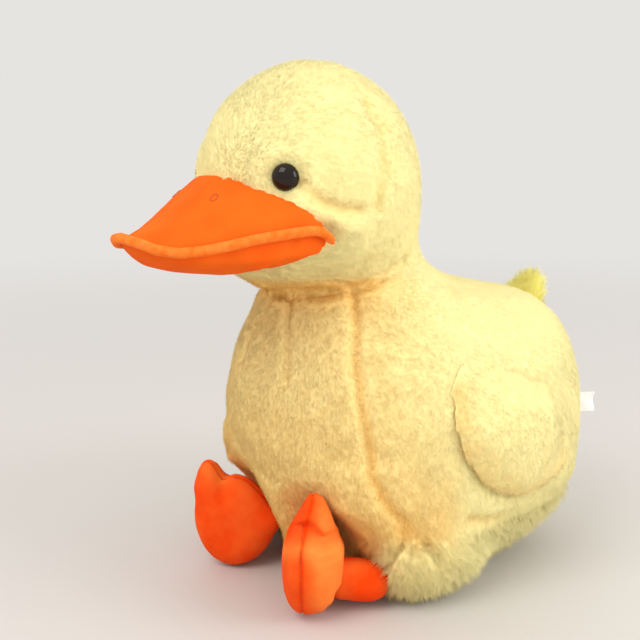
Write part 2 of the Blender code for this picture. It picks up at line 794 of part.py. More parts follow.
def foot_frame():
    """Gives the matrix of the left foot: local +Z is out of the sole, local +Y is toes up."""
    sole = Vector((-math.sin(FOOT_TOE_IN), -math.cos(FOOT_TOE_IN), 0.0))
    up = Vector((0, 0, 1))
    side = up.cross(sole)
    turn = Matrix((side, up, sole)).transposed().to_4x4()
    ankle = ankle_place()
    middle = ankle + sole * FOOT_AHEAD
    middle.z = FOOT_LIFT + FOOT_HEIGHT / 2
    return Matrix.Translation(middle) @ turn


def outline_reach(angle):
    """Gives the foot outline's reach share at an angle from toes up, in degrees."""
    table = FOOT_OUTLINE_SHARES + ((360, FOOT_OUTLINE_SHARES[0][1]),)
    for (low, near), (high, far) in zip(table, table[1:]):
        if angle <= high:
            part = (angle - low) / (high - low)
            blend = (1 - math.cos(math.pi * part)) / 2
            return near + (far - near) * blend
    return table[-1][1]


def foot_outside():
    """Makes the outer form of the left foot, fuller at the sole and the instep than at its edge."""
    frame = foot_frame()
    rings = []
    layers = [(share, SOLE_BULGE_SHARE) for share in reversed(FOOT_RING_SHARES)]
    layers += [(share, SOLE_BULGE_SHARE - 1) for share in FOOT_RING_SHARES[1:]]
    for share, bulge in layers:
        height = FOOT_THICKNESS * bulge * math.sqrt(1 - share * share)
        ring = []
        for index in range(FOOT_SEGMENTS):
            degrees = 360 * index / FOOT_SEGMENTS
            angle = math.radians(degrees)
            reach = share * outline_reach(degrees)
            rise = reach * math.cos(angle) - FOOT_LOW_FULLNESS_SHARE * (1 - share)
            ring.append(frame @ Vector((FOOT_HALF_WIDTH * reach * math.sin(angle),
                                        FOOT_HEIGHT / 2 * rise, height)))
        rings.append(ring)
    return loft("foot", rings)


def foot_pieces(outside, leg_socket):
    """Makes the left foot's sole, instep and filling."""
    cover = combine(outside, offset_mesh(outside, -VELBOA_WALL, "cavity"))
    cover = combine(cover, leg_socket)
    filling = combine(offset_mesh(outside, -VELBOA_WALL - GAP, "foot_filling"), leg_socket)
    frame = foot_frame()
    reach = FOOT_HEIGHT
    rings = []
    for height in (0.0, reach):
        rings.append([frame @ Vector((x, y, height)) for x, y in (
            (-reach, -reach), (reach, -reach), (reach, reach), (-reach, reach))])
    front = loft("front", rings, hubs=False)
    sole_way = frame.to_3x3() @ Vector((0, 0, 1))
    behind = loft("front", [[point - sole_way * GAP for point in rings[0]], rings[1]], hubs=False)
    sole = loose_parts(combine(cover, front, "INTERSECT"))[0]
    instep = loose_parts(combine(cover, behind))[0]
    return sole, instep, filling


def tail_outside():
    """Makes the tail's flat cone, which leans back as it rises from the rump."""
    base = Vector((0.0, TAIL_BASE_Y, TAIL_BASE_HEIGHT))
    lean = Vector((0.0, math.sin(TAIL_LEAN), math.cos(TAIL_LEAN)))
    thick = Vector((0.0, math.cos(TAIL_LEAN), -math.sin(TAIL_LEAN)))
    rings = []
    for along, reach in TAIL_RING_SHARES:
        ring = []
        for index in range(TAIL_SEGMENTS):
            angle = math.tau * index / TAIL_SEGMENTS
            across = Vector((TAIL_HALF_WIDTH * reach * math.cos(angle), 0, 0))
            ring.append(base + lean * TAIL_LENGTH * along + across
                        + thick * TAIL_HALF_THICKNESS * reach * math.sin(angle))
        rings.append(ring)
    return loft("tail", rings)


def label_mesh(body):
    """Makes the care label, standing square off the rear side of the body."""
    outward = Vector((math.sin(LABEL_AZIMUTH), -math.cos(LABEL_AZIMUTH), 0.0))
    place, _ = surface_hit(body, Vector((0.0, 0.0, LABEL_HEIGHT)), outward)
    across = outward.cross(Vector((0, 0, 1)))
    root = place + outward * GAP
    rings = []
    for along in (LABEL_ROOT_SHARE * -LABEL_LENGTH, LABEL_LENGTH):
        corner = root + outward * along
        ring = []
        for sign, rise in ((-1, -1), (1, -1), (1, 1), (-1, 1)):
            ring.append(corner + across * LABEL_THICKNESS / 2 * sign + Vector((0, 0, LABEL_WIDTH / 2 * rise)))
        rings.append(ring)
    return loft("care_label", rings, hubs=False)


def add_object(name, mesh, material, pivot=None):
    """Links one finished piece, with its origin on its joint where it has one."""
    if pivot is not None:
        mesh.transform(Matrix.Translation(-pivot))
    mesh.name = name
    mesh.materials.clear()
    mesh.materials.append(material)
    mesh.shade_smooth()
    mesh.set_sharp_from_angle(angle=SMOOTH_ANGLE)
    item = bpy.data.objects.new(name, mesh)
    if pivot is not None:
        item.location = pivot
    bpy.context.scene.collection.objects.link(item)
    return item


def main():
    """Builds every piece of the duck."""
    clear_scene()
    fur = (FUR_YELLOW, CLOTH_ROUGHNESS)
    chest = (CHEST_YELLOW, CLOTH_ROUGHNESS)
    orange = (VELBOA_ORANGE, CLOTH_ROUGHNESS)
    stuffing = (FILLING_WHITE, CLOTH_ROUGHNESS)
    finishes = {
        "body_filling": stuffing, "head_filling": stuffing, "bill_filling": stuffing,
        "chest_panel": chest, "side_panel_left": fur, "side_panel_right": fur, "base_panel": fur,
        "face_panel": fur, "back_of_head_panel": fur,
        "bill_upper": orange, "bill_lower": orange, "mouth_piping": (PIPING_ORANGE, CLOTH_ROUGHNESS),
        "tail": (TAIL_YELLOW, CLOTH_ROUGHNESS), "tail_filling": stuffing,
        "care_label": (LABEL_WHITE, PLAIN_ROUGHNESS),
    }
    pieces = {}
    pivots = {}
    body = body_outside()
    body_cutter = offset_mesh(body, GAP, "body_cutter")
    head = head_outside()
    head_cutter = offset_mesh(head, GAP, "head_cutter")

    panels, pieces["body_filling"] = body_pieces(body)
    pieces.update(panels)
    eye_places = eye_places_on(head, bill_outside())
    panels, pieces["head_filling"] = head_pieces(head, body_cutter, eye_places)
    pieces.update(panels)
    bill, bill_cutter = bill_pieces(head_cutter)
    pieces.update(bill)
    pieces.update(eye_pieces(eye_places))

    hip = Vector((HIP_X, HIP_Y, HIP_HEIGHT))
    ankle = ankle_place()
    leg = leg_mesh(LEG_RADIUS)
    socket = leg_mesh(LEG_RADIUS + JOINT_CLEARANCE)
    thigh = combine(thigh_outside(), body_cutter)
    thigh_inner = combine(offset_mesh(thigh_outside(), -FUR_WALL, "cavity"),
                          offset_mesh(body, GAP - OVERRUN, "reach"))
    thigh_cover = combine(combine(thigh, thigh_inner), socket)
    thigh_fill = offset_mesh(thigh_outside(), -FUR_WALL - GAP, "thigh_filling")
    thigh_fill = combine(combine(thigh_fill, body_cutter), socket)
    hip_mouth = turned("mouth", ((LEG_MOUTH_RADIUS, -OVERRUN), (LEG_MOUTH_RADIUS, 0.0)), LIMB_SEGMENTS,
                       aim(hip, (ankle - hip).normalized()))
    leg_cover = combine(combine(leg, leg_mesh(LEG_RADIUS - VELBOA_WALL)), hip_mouth)
    leg_fill = leg_mesh(LEG_RADIUS - VELBOA_WALL - GAP)
    foot = foot_outside()
    sole, instep, foot_fill = foot_pieces(foot, socket)
    wing, wing_fill = wing_pieces(body_cutter, [offset_mesh(thigh_outside(), GAP, "thigh_cutter")])
    left = {
        "thigh": (loose_parts(thigh_cover)[0], fur, None),
        "thigh_filling": (loose_parts(thigh_fill)[0], stuffing, None),
        "leg": (leg_cover, orange, hip),
        "leg_filling": (leg_fill, stuffing, hip),
        "foot_sole": (sole, orange, ankle),
        "foot_instep": (instep, orange, ankle),
        "foot_filling": (foot_fill, stuffing, ankle),
        "wing": (wing, fur, wing_hinge()),
        "wing_filling": (wing_fill, stuffing, wing_hinge()),
    }
    for word, side in SIDES:
        for name, (mesh, finish, pivot) in left.items():
            full = name + "_" + word
            pieces[full] = mirrored(mesh, side, full)
            finishes[full] = finish
            if pivot is not None:
                pivots[full] = Vector((pivot.x * side, pivot.y, pivot.z))
        finishes["eye_" + word] = (EYE_BLACK, GLOSS_ROUGHNESS)
        finishes["eye_washer_" + word] = (WASHER_WHITE, PLAIN_ROUGHNESS)
        finishes["nostril_" + word] = (PIPING_ORANGE, CLOTH_ROUGHNESS)

    tail = tail_outside()
    tail_cavity = offset_mesh(tail, -FUR_WALL, "cavity")
    tail_cover = combine(combine(tail, tail_cavity), body_cutter)
    tail_fill = combine(offset_mesh(tail, -FUR_WALL - GAP, "tail_filling"), body_cutter)
    pieces["tail"] = loose_parts(tail_cover)[0]
    pieces["tail_filling"] = loose_parts(tail_fill)[0]
    pivots["tail"] = Vector((0.0, TAIL_BASE_Y, TAIL_BASE_HEIGHT))
    pivots["tail_filling"] = pivots["tail"]
    pieces["care_label"] = combine(label_mesh(body), body_cutter)

    for name, mesh in pieces.items():
        colour, roughness = finishes[name]
        add_object(name, mesh, make_material(name, colour, roughness), pivots.get(name))


main()
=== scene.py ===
"""Plush duck: stuffed covers, pile, bill, eyes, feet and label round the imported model, with its stage."""

import json
import math

import bmesh
import bpy
import numpy as np
from bpy.props import FloatProperty, FloatVectorProperty, IntProperty, PointerProperty
from bpy.types import Operator, Panel, PropertyGroup
from mathutils import Matrix, Vector
from mathutils.bvhtree import BVHTree
from mathutils.kdtree import KDTree

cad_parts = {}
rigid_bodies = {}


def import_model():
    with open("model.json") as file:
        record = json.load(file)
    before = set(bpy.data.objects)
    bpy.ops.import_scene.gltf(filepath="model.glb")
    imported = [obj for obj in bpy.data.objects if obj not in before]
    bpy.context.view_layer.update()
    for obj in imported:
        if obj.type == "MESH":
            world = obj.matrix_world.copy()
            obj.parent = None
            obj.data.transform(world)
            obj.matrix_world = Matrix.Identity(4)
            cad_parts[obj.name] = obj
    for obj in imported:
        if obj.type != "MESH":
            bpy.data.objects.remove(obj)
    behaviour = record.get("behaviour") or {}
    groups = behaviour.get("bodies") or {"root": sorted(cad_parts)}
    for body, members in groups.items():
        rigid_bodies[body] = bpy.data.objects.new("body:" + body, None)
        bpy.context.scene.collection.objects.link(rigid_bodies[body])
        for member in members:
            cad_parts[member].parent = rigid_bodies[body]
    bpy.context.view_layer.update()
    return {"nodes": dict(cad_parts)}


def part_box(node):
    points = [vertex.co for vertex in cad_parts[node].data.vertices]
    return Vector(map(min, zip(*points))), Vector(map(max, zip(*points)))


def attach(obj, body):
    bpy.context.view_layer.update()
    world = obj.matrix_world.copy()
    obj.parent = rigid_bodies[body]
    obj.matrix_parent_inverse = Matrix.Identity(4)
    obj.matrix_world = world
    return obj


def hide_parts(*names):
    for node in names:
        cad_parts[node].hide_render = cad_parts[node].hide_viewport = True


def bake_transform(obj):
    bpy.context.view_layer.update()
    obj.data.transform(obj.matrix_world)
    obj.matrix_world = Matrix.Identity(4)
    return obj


bl_info = {
    "name": "Plush duck",
    "version": (1, 0, 0),
    "blender": (4, 5, 0),
    "location": "3D View > Sidebar > Duck",
    "description": "Sews, stuffs and brushes the plush duck round its packed model",
    "category": "Object",
}

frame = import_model()
BODY = "body"
SIDES = (("left", 1.0), ("right", -1.0))

# Seams and folds as places on the duck's left side, in metres
CHEST_SEAM = ((0.0700, 0.0104), (0.0900, 0.0390), (0.0985, 0.0550), (0.1000, 0.0722), (0.0960, 0.0997),
              (0.0885, 0.1193), (0.0855, 0.1413), (0.0755, 0.1750), (0.0680, 0.1950), (0.0580, 0.2217),
              (0.0504, 0.2392), (0.0342, 0.2522))
CHEST_DART = ((0.0117, -0.1217, 0.2255), (0.0239, -0.1325, 0.1989), (0.0293, -0.1384, 0.1749))
CHEEK_FOLD = ((0.0629, -0.1475, 0.3123), (0.0673, -0.1413, 0.3040), (0.0727, -0.1320, 0.2981),
              (0.0774, -0.1222, 0.2943), (0.0799, -0.1103, 0.2939))
HEAD_SEAM = ((0.0621, -0.0876, 0.3693), (0.0692, -0.0849, 0.3586), (0.0744, -0.0835, 0.3478),
             (0.0792, -0.0853, 0.3371), (0.0827, -0.0867, 0.3200), (0.0837, -0.0903, 0.3073),
             (0.0830, -0.0946, 0.2955))
HEAD_SEAM_Y = -0.0930
NECK_FOLD = ((0.0000, -0.1290, 0.2330), (0.0241, -0.1190, 0.2320), (0.0365, -0.1103, 0.2320),
             (0.0507, -0.0941, 0.2351), (0.0607, -0.0791, 0.2400), (0.0627, -0.0637, 0.2469),
             (0.0617, -0.0512, 0.2531))
LAP_X = (0.000, 0.015, 0.030, 0.045, 0.060, 0.075, 0.090, 0.104)
LAP_Z = (0.010, 0.020, 0.040, 0.060, 0.080, 0.100, 0.120)
LAP_FRONT = ((-0.104, -0.110, -0.117, -0.127, -0.136, -0.142, -0.146),
             (-0.101, -0.105, -0.107, -0.119, -0.132, -0.140, -0.145),
             (-0.097, -0.095, -0.093, -0.099, -0.120, -0.137, -0.143),
             (-0.091, -0.091, -0.091, -0.097, -0.119, -0.135, -0.140),
             (-0.075, -0.082, -0.090, -0.098, -0.120, -0.131, -0.136),
             (-0.075, -0.082, -0.090, -0.103, -0.122, -0.128, -0.128),
             (-0.075, -0.082, -0.089, -0.099, -0.114, -0.118, -0.114),
             (-0.060, -0.066, -0.074, -0.082, -0.091, -0.095, -0.094))
BASE_SEAM_Z = 0.0110
TONE_COUNT = 12
RIM_SECTORS = 48
NOSTRIL_STITCHES = 9
RIDGE_STITCH = 0.0030
FOOT_STITCH = 0.0034
THREAD_TWIST = 0.0006
CHEST_MIDDLE_Z = 0.1150
MOUTH_CORNER = (0.0688, -0.1300, 0.2794)
FUR_INFLATION = 0.0050
FUR_DEPTH = 0.0024
NECK_LINE_Z = 0.2440
THIGH_FOLD = ((0.1081, -0.0701, 0.0540), (0.1146, -0.0611, 0.0424))
HIP_FOLD = ((0.1180, -0.0018, 0.0592), (0.1182, -0.0347, 0.0675))
JOWL = tuple((x, y, z + 0.0120) for x, y, z in NECK_FOLD)
CHEEK_PUFF = tuple((x, y, z - 0.0120) for x, y, z in CHEEK_FOLD)

# Seams, folds and puffs of the skin, in the order they are sewn. Each has its line, its depth and width, how
# much and how widely its crease deepens the tone towards honey as painted shade and then thins the pile, and
# how much of that painted shade fades at the back.
SKIN_LINES = (
    (CHEST_DART, 0.0024, 0.0038, 0.14, 0.0040, 0.35, 0.0040, 0.0),
    (NECK_FOLD, 0.0040, 0.0042, 0.35, 0.0060, 0.40, 0.0040, 0.5),
    (JOWL, -0.0022, 0.0085, 0.00, 0.0050, 0.00, 0.0050, 0.0),
    (HEAD_SEAM, 0.0056, 0.0046, 0.20, 0.0050, 0.55, 0.0045, 0.0),
    (CHEEK_FOLD, 0.0034, 0.0042, 0.38, 0.0050, 0.35, 0.0045, 0.0),
    (CHEEK_PUFF, -0.0026, 0.0090, 0.00, 0.0050, 0.00, 0.0050, 0.0),
    (THIGH_FOLD, 0.0030, 0.0045, 0.30, 0.0050, 0.00, 0.0050, 0.0),
    (HIP_FOLD, 0.0026, 0.0045, 0.30, 0.0050, 0.00, 0.0050, 0.0),
)
WING_SLIT = ((0.1158, -0.0454, 0.1660), (0.1253, -0.0483, 0.1409))
MOUTH_HEIGHTS = (0.272, 0.269, 0.273, 0.281, 0.283)
BILL_FOLD = ((0.0640, -0.1560, 0.2790), (0.0520, -0.1650, 0.2650), (0.0300, -0.1680, 0.2560))
FOOT_TOE_IN = math.radians(41)
ANKLE = (0.0544, -0.1230, 0.0250)
FOOT_MIDDLE_Z = 0.0456
FOOT_AHEAD = 0.0120

# Eyes: their seat on the head, and the dome's shape
EYE_GUESS = math.radians(40)
EYE_DOME = 0.0075
EYE_CUT = -0.001
EYE_FLATNESS = 0.74
EYE_SINK = 0.0046
EYE_LIFT = 0.0014

# Stage: the photograph's camera in pixels, metres and angles, and the studio round it
PHOTO_SIDE_PX = 640.0
FOCAL_LENGTH_PX = 972.0
CAMERA_OFFSET_PX = 80.0
CAMERA_DISTANCE = 0.79
CAMERA_HEIGHT = 0.341
CAMERA_AROUND = math.radians(47.5)
CAMERA_TILT = math.radians(10.5)
SENSOR_WIDTH = 36.0
BACKDROP = (0.790, 0.775, 0.755, 1.0)
SKY = (1.0, 0.98, 0.96, 1.0)
LAMPS = (("key_lamp", (0.3, -1.5, 1.7), 17.0), ("side_lamp", (1.7, 1.0, 0.9), 22.0))
LAMP_SIZE = 1.2
LAMP_TARGET = (0.0, 0.0, 0.2)

# Nodes that the fur skin stands for, and the regions of its pile
FUR_NODES = ("body_filling", "base_panel", "chest_panel", "side_panel_left", "side_panel_right",
             "head_filling", "face_panel", "back_of_head_panel", "thigh_filling_left", "thigh_left",
             "thigh_filling_right", "thigh_right")
FUR_REGIONS = ("face", "back_of_head", "chest_upper", "side_left_front", "side_left_rear", "side_right_front",
               "side_right_rear", "thigh_left", "thigh_right", "chest_lower")


class DuckSizes(PropertyGroup):
    """Sizes of the cloth, the stuffing and the pile."""
    fur_voxel: FloatProperty(name="Fur cover grid", description="Grid of the fur covers before subdivision",
                             default=0.0045, min=0.002, subtype="DISTANCE")
    pile_length: FloatProperty(name="Pile length", description="Length of the fur's pile",
                               default=0.0046, min=0.001, subtype="DISTANCE")
    pile_width: FloatProperty(name="Pile width", description="Width of one strand of pile at its root",
                              default=0.00036, min=0.0001, subtype="DISTANCE")
    pile_density: FloatProperty(name="Pile density", description="Strands on a square metre",
                                default=1050000.0, min=1000.0)
    stuffing: FloatProperty(name="Stuffing pressure", description="Pressure of the filling on the covers",
                            default=4.0, min=0.0)
    stuffing_steps: IntProperty(name="Stuffing steps", description="Frames that the covers are let swell for",
                                default=20, min=1)
    eye_radius: FloatProperty(name="Eye radius", description="Radius of a safety eye",
                              default=0.0095, min=0.002, subtype="DISTANCE")
    seed: IntProperty(name="Seed", description="Seed of every scattered strand", default=7)


class DuckColours(PropertyGroup):
    """Colours of the cloths and trims."""
    cream: FloatVectorProperty(name="Cream fur", description="Pile of the head, sides and wings",
                               subtype="COLOR", default=(0.990, 0.880, 0.405), min=0, max=1)
    # Honey is the lower chest's own colour, and also the colour of the painted shade in the fur's seams and
    # folds and under the wings' lower edges.
    honey: FloatVectorProperty(name="Honey fur", description="Pile low on the chest",
                               subtype="COLOR", default=(0.990, 0.520, 0.100), min=0, max=1)
    lemon: FloatVectorProperty(name="Lemon fur", description="Pile of the tail",
                               subtype="COLOR", default=(1.000, 0.910, 0.230), min=0, max=1)
    orange: FloatVectorProperty(name="Orange velboa", description="Short pile of the bill, legs and feet",
                                subtype="COLOR", default=(0.900, 0.150, 0.011), min=0, max=1)
    deep_orange: FloatVectorProperty(name="Deep orange", description="Orange with the nap turned",
                                     subtype="COLOR", default=(0.870, 0.105, 0.005), min=0, max=1)
    # Foot orange also paints the highlights on the feet, and deep foot orange also paints the shade in the
    # feet's seams.
    foot_orange: FloatVectorProperty(name="Foot orange", description="Pile of the feet, brushed up",
                                     subtype="COLOR", default=(0.950, 0.240, 0.040), min=0, max=1)
    foot_deep: FloatVectorProperty(name="Deep foot orange", description="Pile of the feet, brushed down",
                                   subtype="COLOR", default=(0.850, 0.056, 0.002), min=0, max=1)
    thread: FloatVectorProperty(name="Thread", description="Stitching on the bill",
                                subtype="COLOR", default=(0.420, 0.060, 0.008), min=0, max=1)
    eye: FloatVectorProperty(name="Eye", description="Moulded eye",
                             subtype="COLOR", default=(0.012, 0.008, 0.006), min=0, max=1)
    label: FloatVectorProperty(name="Label", description="Woven care label",
                               subtype="COLOR", default=(0.900, 0.900, 0.880), min=0, max=1)
    floor: FloatVectorProperty(name="Floor", description="Studio floor",
                               subtype="COLOR", default=(0.600, 0.575, 0.545), min=0, max=1)


def sizes():
    """Gives the sizes set in the scene."""
    return bpy.context.scene.duck_sizes


def colours():
    """Gives the colours set in the scene."""
    return bpy.context.scene.duck_colours


def deselect_all():
    """Clears the selection, which the frame leaves full."""
    for item in bpy.context.scene.objects:
        item.select_set(False)


def make_active(item):
    """Selects one object alone and makes it active."""
    deselect_all()
    item.select_set(True)
    bpy.context.view_layer.objects.active = item


def edit_all(step, **settings):
    """Runs one modelling step on the whole of the active mesh."""
    bpy.ops.object.mode_set(mode="EDIT")
    bpy.ops.mesh.select_all(action="SELECT")
    step(**settings)
    bpy.ops.object.mode_set(mode="OBJECT")


def smoothstep(values, low, high):
    """Rises from 0 at low to 1 at high."""
    t = np.clip((values - low) / (high - low), 0.0, 1.0)
    return t * t * (3.0 - 2.0 * t)


def bell(distance, width):
    """Gives 1 on a line and falls to 0 beside it."""
    return np.exp(-(distance / width) ** 2)


def points_of(item):
    """Gives a mesh's points and normals as arrays."""
    mesh = item.data
    count = len(mesh.vertices)
    co = np.empty(count * 3)
    mesh.vertices.foreach_get("co", co)
    normals = np.empty(count * 3)
    mesh.vertices.foreach_get("normal", normals)
    return co.reshape(-1, 3), normals.reshape(-1, 3)


def set_points(item, co):
    """Writes points back to a mesh."""
    item.data.vertices.foreach_set("co", np.ascontiguousarray(co).ravel())
    item.data.update()


def soft_noise(co, size, seed):
    """Gives a smooth wavy value in about -1 to 1 at each point, with lumps of a size."""
    rng = np.random.default_rng(seed)
    total = np.zeros(len(co))
    for _ in range(9):
        way = rng.normal(size=3)
        way /= np.linalg.norm(way)
        pitch = size * rng.uniform(0.6, 1.7)
        total += np.sin(co @ way * (2 * math.pi / pitch) + rng.uniform(0, 2 * math.pi))
    return total / 4.0


def line_distance(co, normals, line):
    """Gives each point's distance along the surface from a line of places."""
    best = np.full(len(co), 1.0)
    for a, b in zip(line, line[1:]):
        start = np.array(a)
        run = np.array(b) - start
        share = np.clip((co - start) @ run / (run @ run), 0.0, 1.0)
        away = co - (start + share[:, None] * run)
        rise = np.sum(away * normals, 1)
        flat = away - rise[:, None] * normals
        reach = np.linalg.norm(flat, axis=1) + 3.0 * np.maximum(np.abs(rise) - 0.012, 0.0)
        best = np.minimum(best, reach)
    return best


def mirror_line(line, side):
    """Gives a line of places for the left side, or mirrored for the right."""
    return tuple((x * side, y, z) for x, y, z in line)


def pull(co, normals, distance, depth, width):
    """Draws the surface in along a seam, where the thread holds the cloth down."""
    co -= normals * (depth * bell(distance, width))[:, None]


def take_solids(name, nodes):
    """Copies CAD solids into one new object, with their doubles merged."""
    deselect_all()
    copies = []
    for node in nodes:
        source = frame["nodes"][node]
        copy = bpy.data.objects.new(name, source.data.copy())
        copy.data.transform(source.matrix_world)
        copy.data.materials.clear()
        bpy.context.scene.collection.objects.link(copy)
        copy.select_set(True)
        copies.append(copy)
    bpy.context.view_layer.objects.active = copies[0]
    if len(copies) > 1:
        bpy.ops.object.join()
    item = copies[0]
    item.name = name
    item.data.name = name
    edit_all(bpy.ops.mesh.remove_doubles, threshold=0.00001)
    return item


def grid_cloth(item, voxel, rounds):
    """Remeshes a cover to an even grid and smooths its flats away."""
    make_active(item)
    remesh = item.modifiers.new("grid", "REMESH")
    remesh.mode = "VOXEL"
    remesh.voxel_size = voxel
    bpy.ops.object.modifier_apply(modifier=remesh.name)
    bpy.ops.object.mode_set(mode="EDIT")
    bpy.ops.mesh.select_all(action="SELECT")
    bpy.ops.mesh.vertices_smooth(factor=0.5, repeat=rounds)
    bpy.ops.mesh.normals_make_consistent(inside=False)
    bpy.ops.object.mode_set(mode="OBJECT")


def stuff(item, cap, pressure_share=1.0):
    """Lets the filling swell a cover as cloth does, and caps how far each point may move."""
    before, _ = points_of(item)
    make_active(item)
    scene = bpy.context.scene
    cloth = item.modifiers.new("stuffing", "CLOTH")
    cloth.settings.use_pressure = True
    cloth.settings.uniform_pressure_force = sizes().stuffing * pressure_share
    cloth.settings.effector_weights.gravity = 0.0
    cloth.settings.tension_stiffness = 8
    cloth.settings.compression_stiffness = 8
    cloth.settings.bending_stiffness = 0.6
    cloth.point_cache.frame_start = 1
    cloth.point_cache.frame_end = sizes().stuffing_steps
    for step in range(1, sizes().stuffing_steps + 1):
        scene.frame_set(step)
    graph = bpy.context.evaluated_depsgraph_get()
    swollen = item.evaluated_get(graph).to_mesh()
    co = np.empty(len(swollen.vertices) * 3)
    swollen.vertices.foreach_get("co", co)
    item.evaluated_get(graph).to_mesh_clear()
    item.modifiers.remove(cloth)
    scene.frame_set(1)
    co = co.reshape(-1, 3)
    moved = co - before
    reach = np.linalg.norm(moved, axis=1)
    share = np.where(reach > cap, cap / np.maximum(reach, 1e-9), 1.0)
    set_points(item, before + moved * share[:, None])


def subdivide(item):
    """Adds one level of subdivision surface and applies it."""
    make_active(item)
    modifier = item.modifiers.new("fine", "SUBSURF")
    modifier.levels = 1
    modifier.render_levels = 1
    bpy.ops.object.modifier_apply(modifier=modifier.name)


def hold(piece, body):
    """Makes a piece move with its body. A wing's piece is not parented: its place is baked into its mesh."""
    if body.startswith("wing_"):
        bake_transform(piece)
    else:
        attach(piece, body)


def finish_cover(item, body, nodes, material):
    """Gives a cover its material, shades it smooth, makes it move with its body and hides the CAD parts that
    it stands for.
    """
    item.data.materials.clear()
    item.data.materials.append(material)
    make_active(item)
    bpy.ops.object.shade_smooth()
    hold(item, body)
    if nodes:
        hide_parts(*nodes)
    return item


def set_sockets(node, values):
    """Sets some of a shader node's sockets to constants."""
    for name, value in values.items():
        node.inputs[name].default_value = value


def add_node(tree, kind, values=None, **settings):
    """Adds a shader node with its settings and its sockets' constants."""
    made = tree.nodes.new("ShaderNode" + kind)
    for name, value in settings.items():
        setattr(made, name, value)
    set_sockets(made, values or {})
    return made


def new_material(name, colour, values):
    """Makes a material of one colour, and gives it with its node tree and its main shader."""
    material = bpy.data.materials.new(name)
    material.use_nodes = True
    shader = material.node_tree.nodes["Principled BSDF"]
    set_sockets(shader, {"Base Color": (*colour, 1.0), **values})
    return material, material.node_tree, shader


def add_relief(tree, shader, pattern, depth):
    """Raises a pattern as a fine relief."""
    relief = add_node(tree, "Bump", {"Strength": 0.5, "Distance": depth})
    tree.links.new(pattern.outputs["Fac"], relief.inputs["Height"])
    tree.links.new(relief.outputs["Normal"], shader.inputs["Normal"])


def cloth_shader(name, colour, deep, patch, grain, sheen, bump, roughness=0.85, warmed=False):
    """Makes a napped cloth: patches where the nap turns, a fine grain, a tone kept on the cover that holds
    painted shade in folds and painted highlights, and sheen.
    """
    material, tree, shader = new_material(name, colour, {
        "Roughness": roughness, "Sheen Weight": sheen, "Sheen Roughness": 0.5, "Sheen Tint": (*colour, 1.0),
        "Specular IOR Level": 0.08})
    place = add_node(tree, "TexCoord")
    patches = add_node(tree, "TexNoise", {"Scale": 1.0 / patch, "Detail": 4.0, "Roughness": 0.6})
    fine = add_node(tree, "TexNoise", {"Scale": 1.0 / grain, "Detail": 3.0})
    for noise in (patches, fine):
        tree.links.new(place.outputs["Object"], noise.inputs["Vector"])
    least, most = (-0.10, 0.10) if warmed else (0.0, 1.0)
    spread = add_node(tree, "MapRange", {"From Min": 0.30, "From Max": 0.70, "To Min": least, "To Max": most})
    tree.links.new(patches.outputs["Fac"], spread.inputs["Value"])
    level = spread.outputs["Result"]
    if warmed:
        kept = add_node(tree, "Attribute", attribute_name="tone_with_painted_light")
        total = add_node(tree, "Math", operation="ADD", use_clamp=True)
        tree.links.new(level, total.inputs[0])
        tree.links.new(kept.outputs["Fac"], total.inputs[1])
        level = total.outputs[0]
    blend = add_node(tree, "Mix", {"A": (*colour, 1.0), "B": (*deep, 1.0)}, data_type="RGBA")
    tree.links.new(level, blend.inputs["Factor"])
    tree.links.new(blend.outputs["Result"], shader.inputs["Base Color"])
    add_relief(tree, shader, fine, bump)
    return material


def strand_shader(name, colour):
    """Makes the finish of one tone of pile."""
    return new_material(name, colour, {
        "Roughness": 0.75, "Specular IOR Level": 0.2, "Sheen Weight": 0.15, "Sheen Roughness": 0.5,
        "Sheen Tint": (*colour, 1.0)})[0]


def thread_shader(name, colour):
    """Makes sewing thread: a twisted strand with a slight gloss."""
    material, tree, shader = new_material(name, colour, {"Roughness": 0.6})
    place = add_node(tree, "TexCoord")
    twist = add_node(tree, "TexNoise", {"Scale": 1.0 / THREAD_TWIST})
    tree.links.new(place.outputs["Object"], twist.inputs["Vector"])
    add_relief(tree, shader, twist, THREAD_TWIST / 2)
    return material


def even_places(places, pitch):
    """Spaces places evenly along a line."""
    line = np.array([tuple(place) for place in places])
    run = np.concatenate(((0.0,), np.cumsum(np.linalg.norm(np.diff(line, axis=0), axis=1))))
    wanted = np.linspace(0.0, run[-1], max(2, int(round(run[-1] / pitch)) + 1))
    return [Vector(tuple(np.interp(at, run, line[:, axis]) for axis in range(3))) for at in wanted]


def stitch_row(name, places, body, material, width):
    """Sews stitches between some places: one is modelled and copied along the row."""
    deselect_all()
    bpy.ops.mesh.primitive_ico_sphere_add(subdivisions=2, radius=0.5)
    pattern = bpy.context.object
    edit_all(bpy.ops.transform.resize, value=(0.82, 1.0, 0.7))
    copies = []
    for start, end in zip(places, places[1:]):
        run = end - start
        turn = run.to_track_quat("X", "Z").to_matrix().to_4x4()
        size = Matrix.Diagonal((run.length, width, width, 1.0))
        stitch = bpy.data.objects.new(name, pattern.data.copy())
        stitch.data.transform(Matrix.Translation((start + end) / 2) @ turn @ size)
        bpy.context.scene.collection.objects.link(stitch)
        copies.append(stitch)
    bpy.data.objects.remove(pattern)
    for stitch in copies:
        stitch.select_set(True)
    bpy.context.view_layer.objects.active = copies[0]
    bpy.ops.object.join()
    row = copies[0]
    row.name = name
    row.data.name = name
    row.data.materials.append(material)
    bpy.ops.object.shade_smooth()
    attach(row, body)
    return row


def tones(name, pale, tone_and_painted_light):
    """Gives the tones of pile, from the palest to the warmest."""
    made = []
    for index in range(TONE_COUNT):
        share = index / (TONE_COUNT - 1)
        mixed = tuple(p + (w - p) * share for p, w in zip(pale, tone_and_painted_light))
        made.append(strand_shader("%s_%d" % (name, index), mixed))
    return made


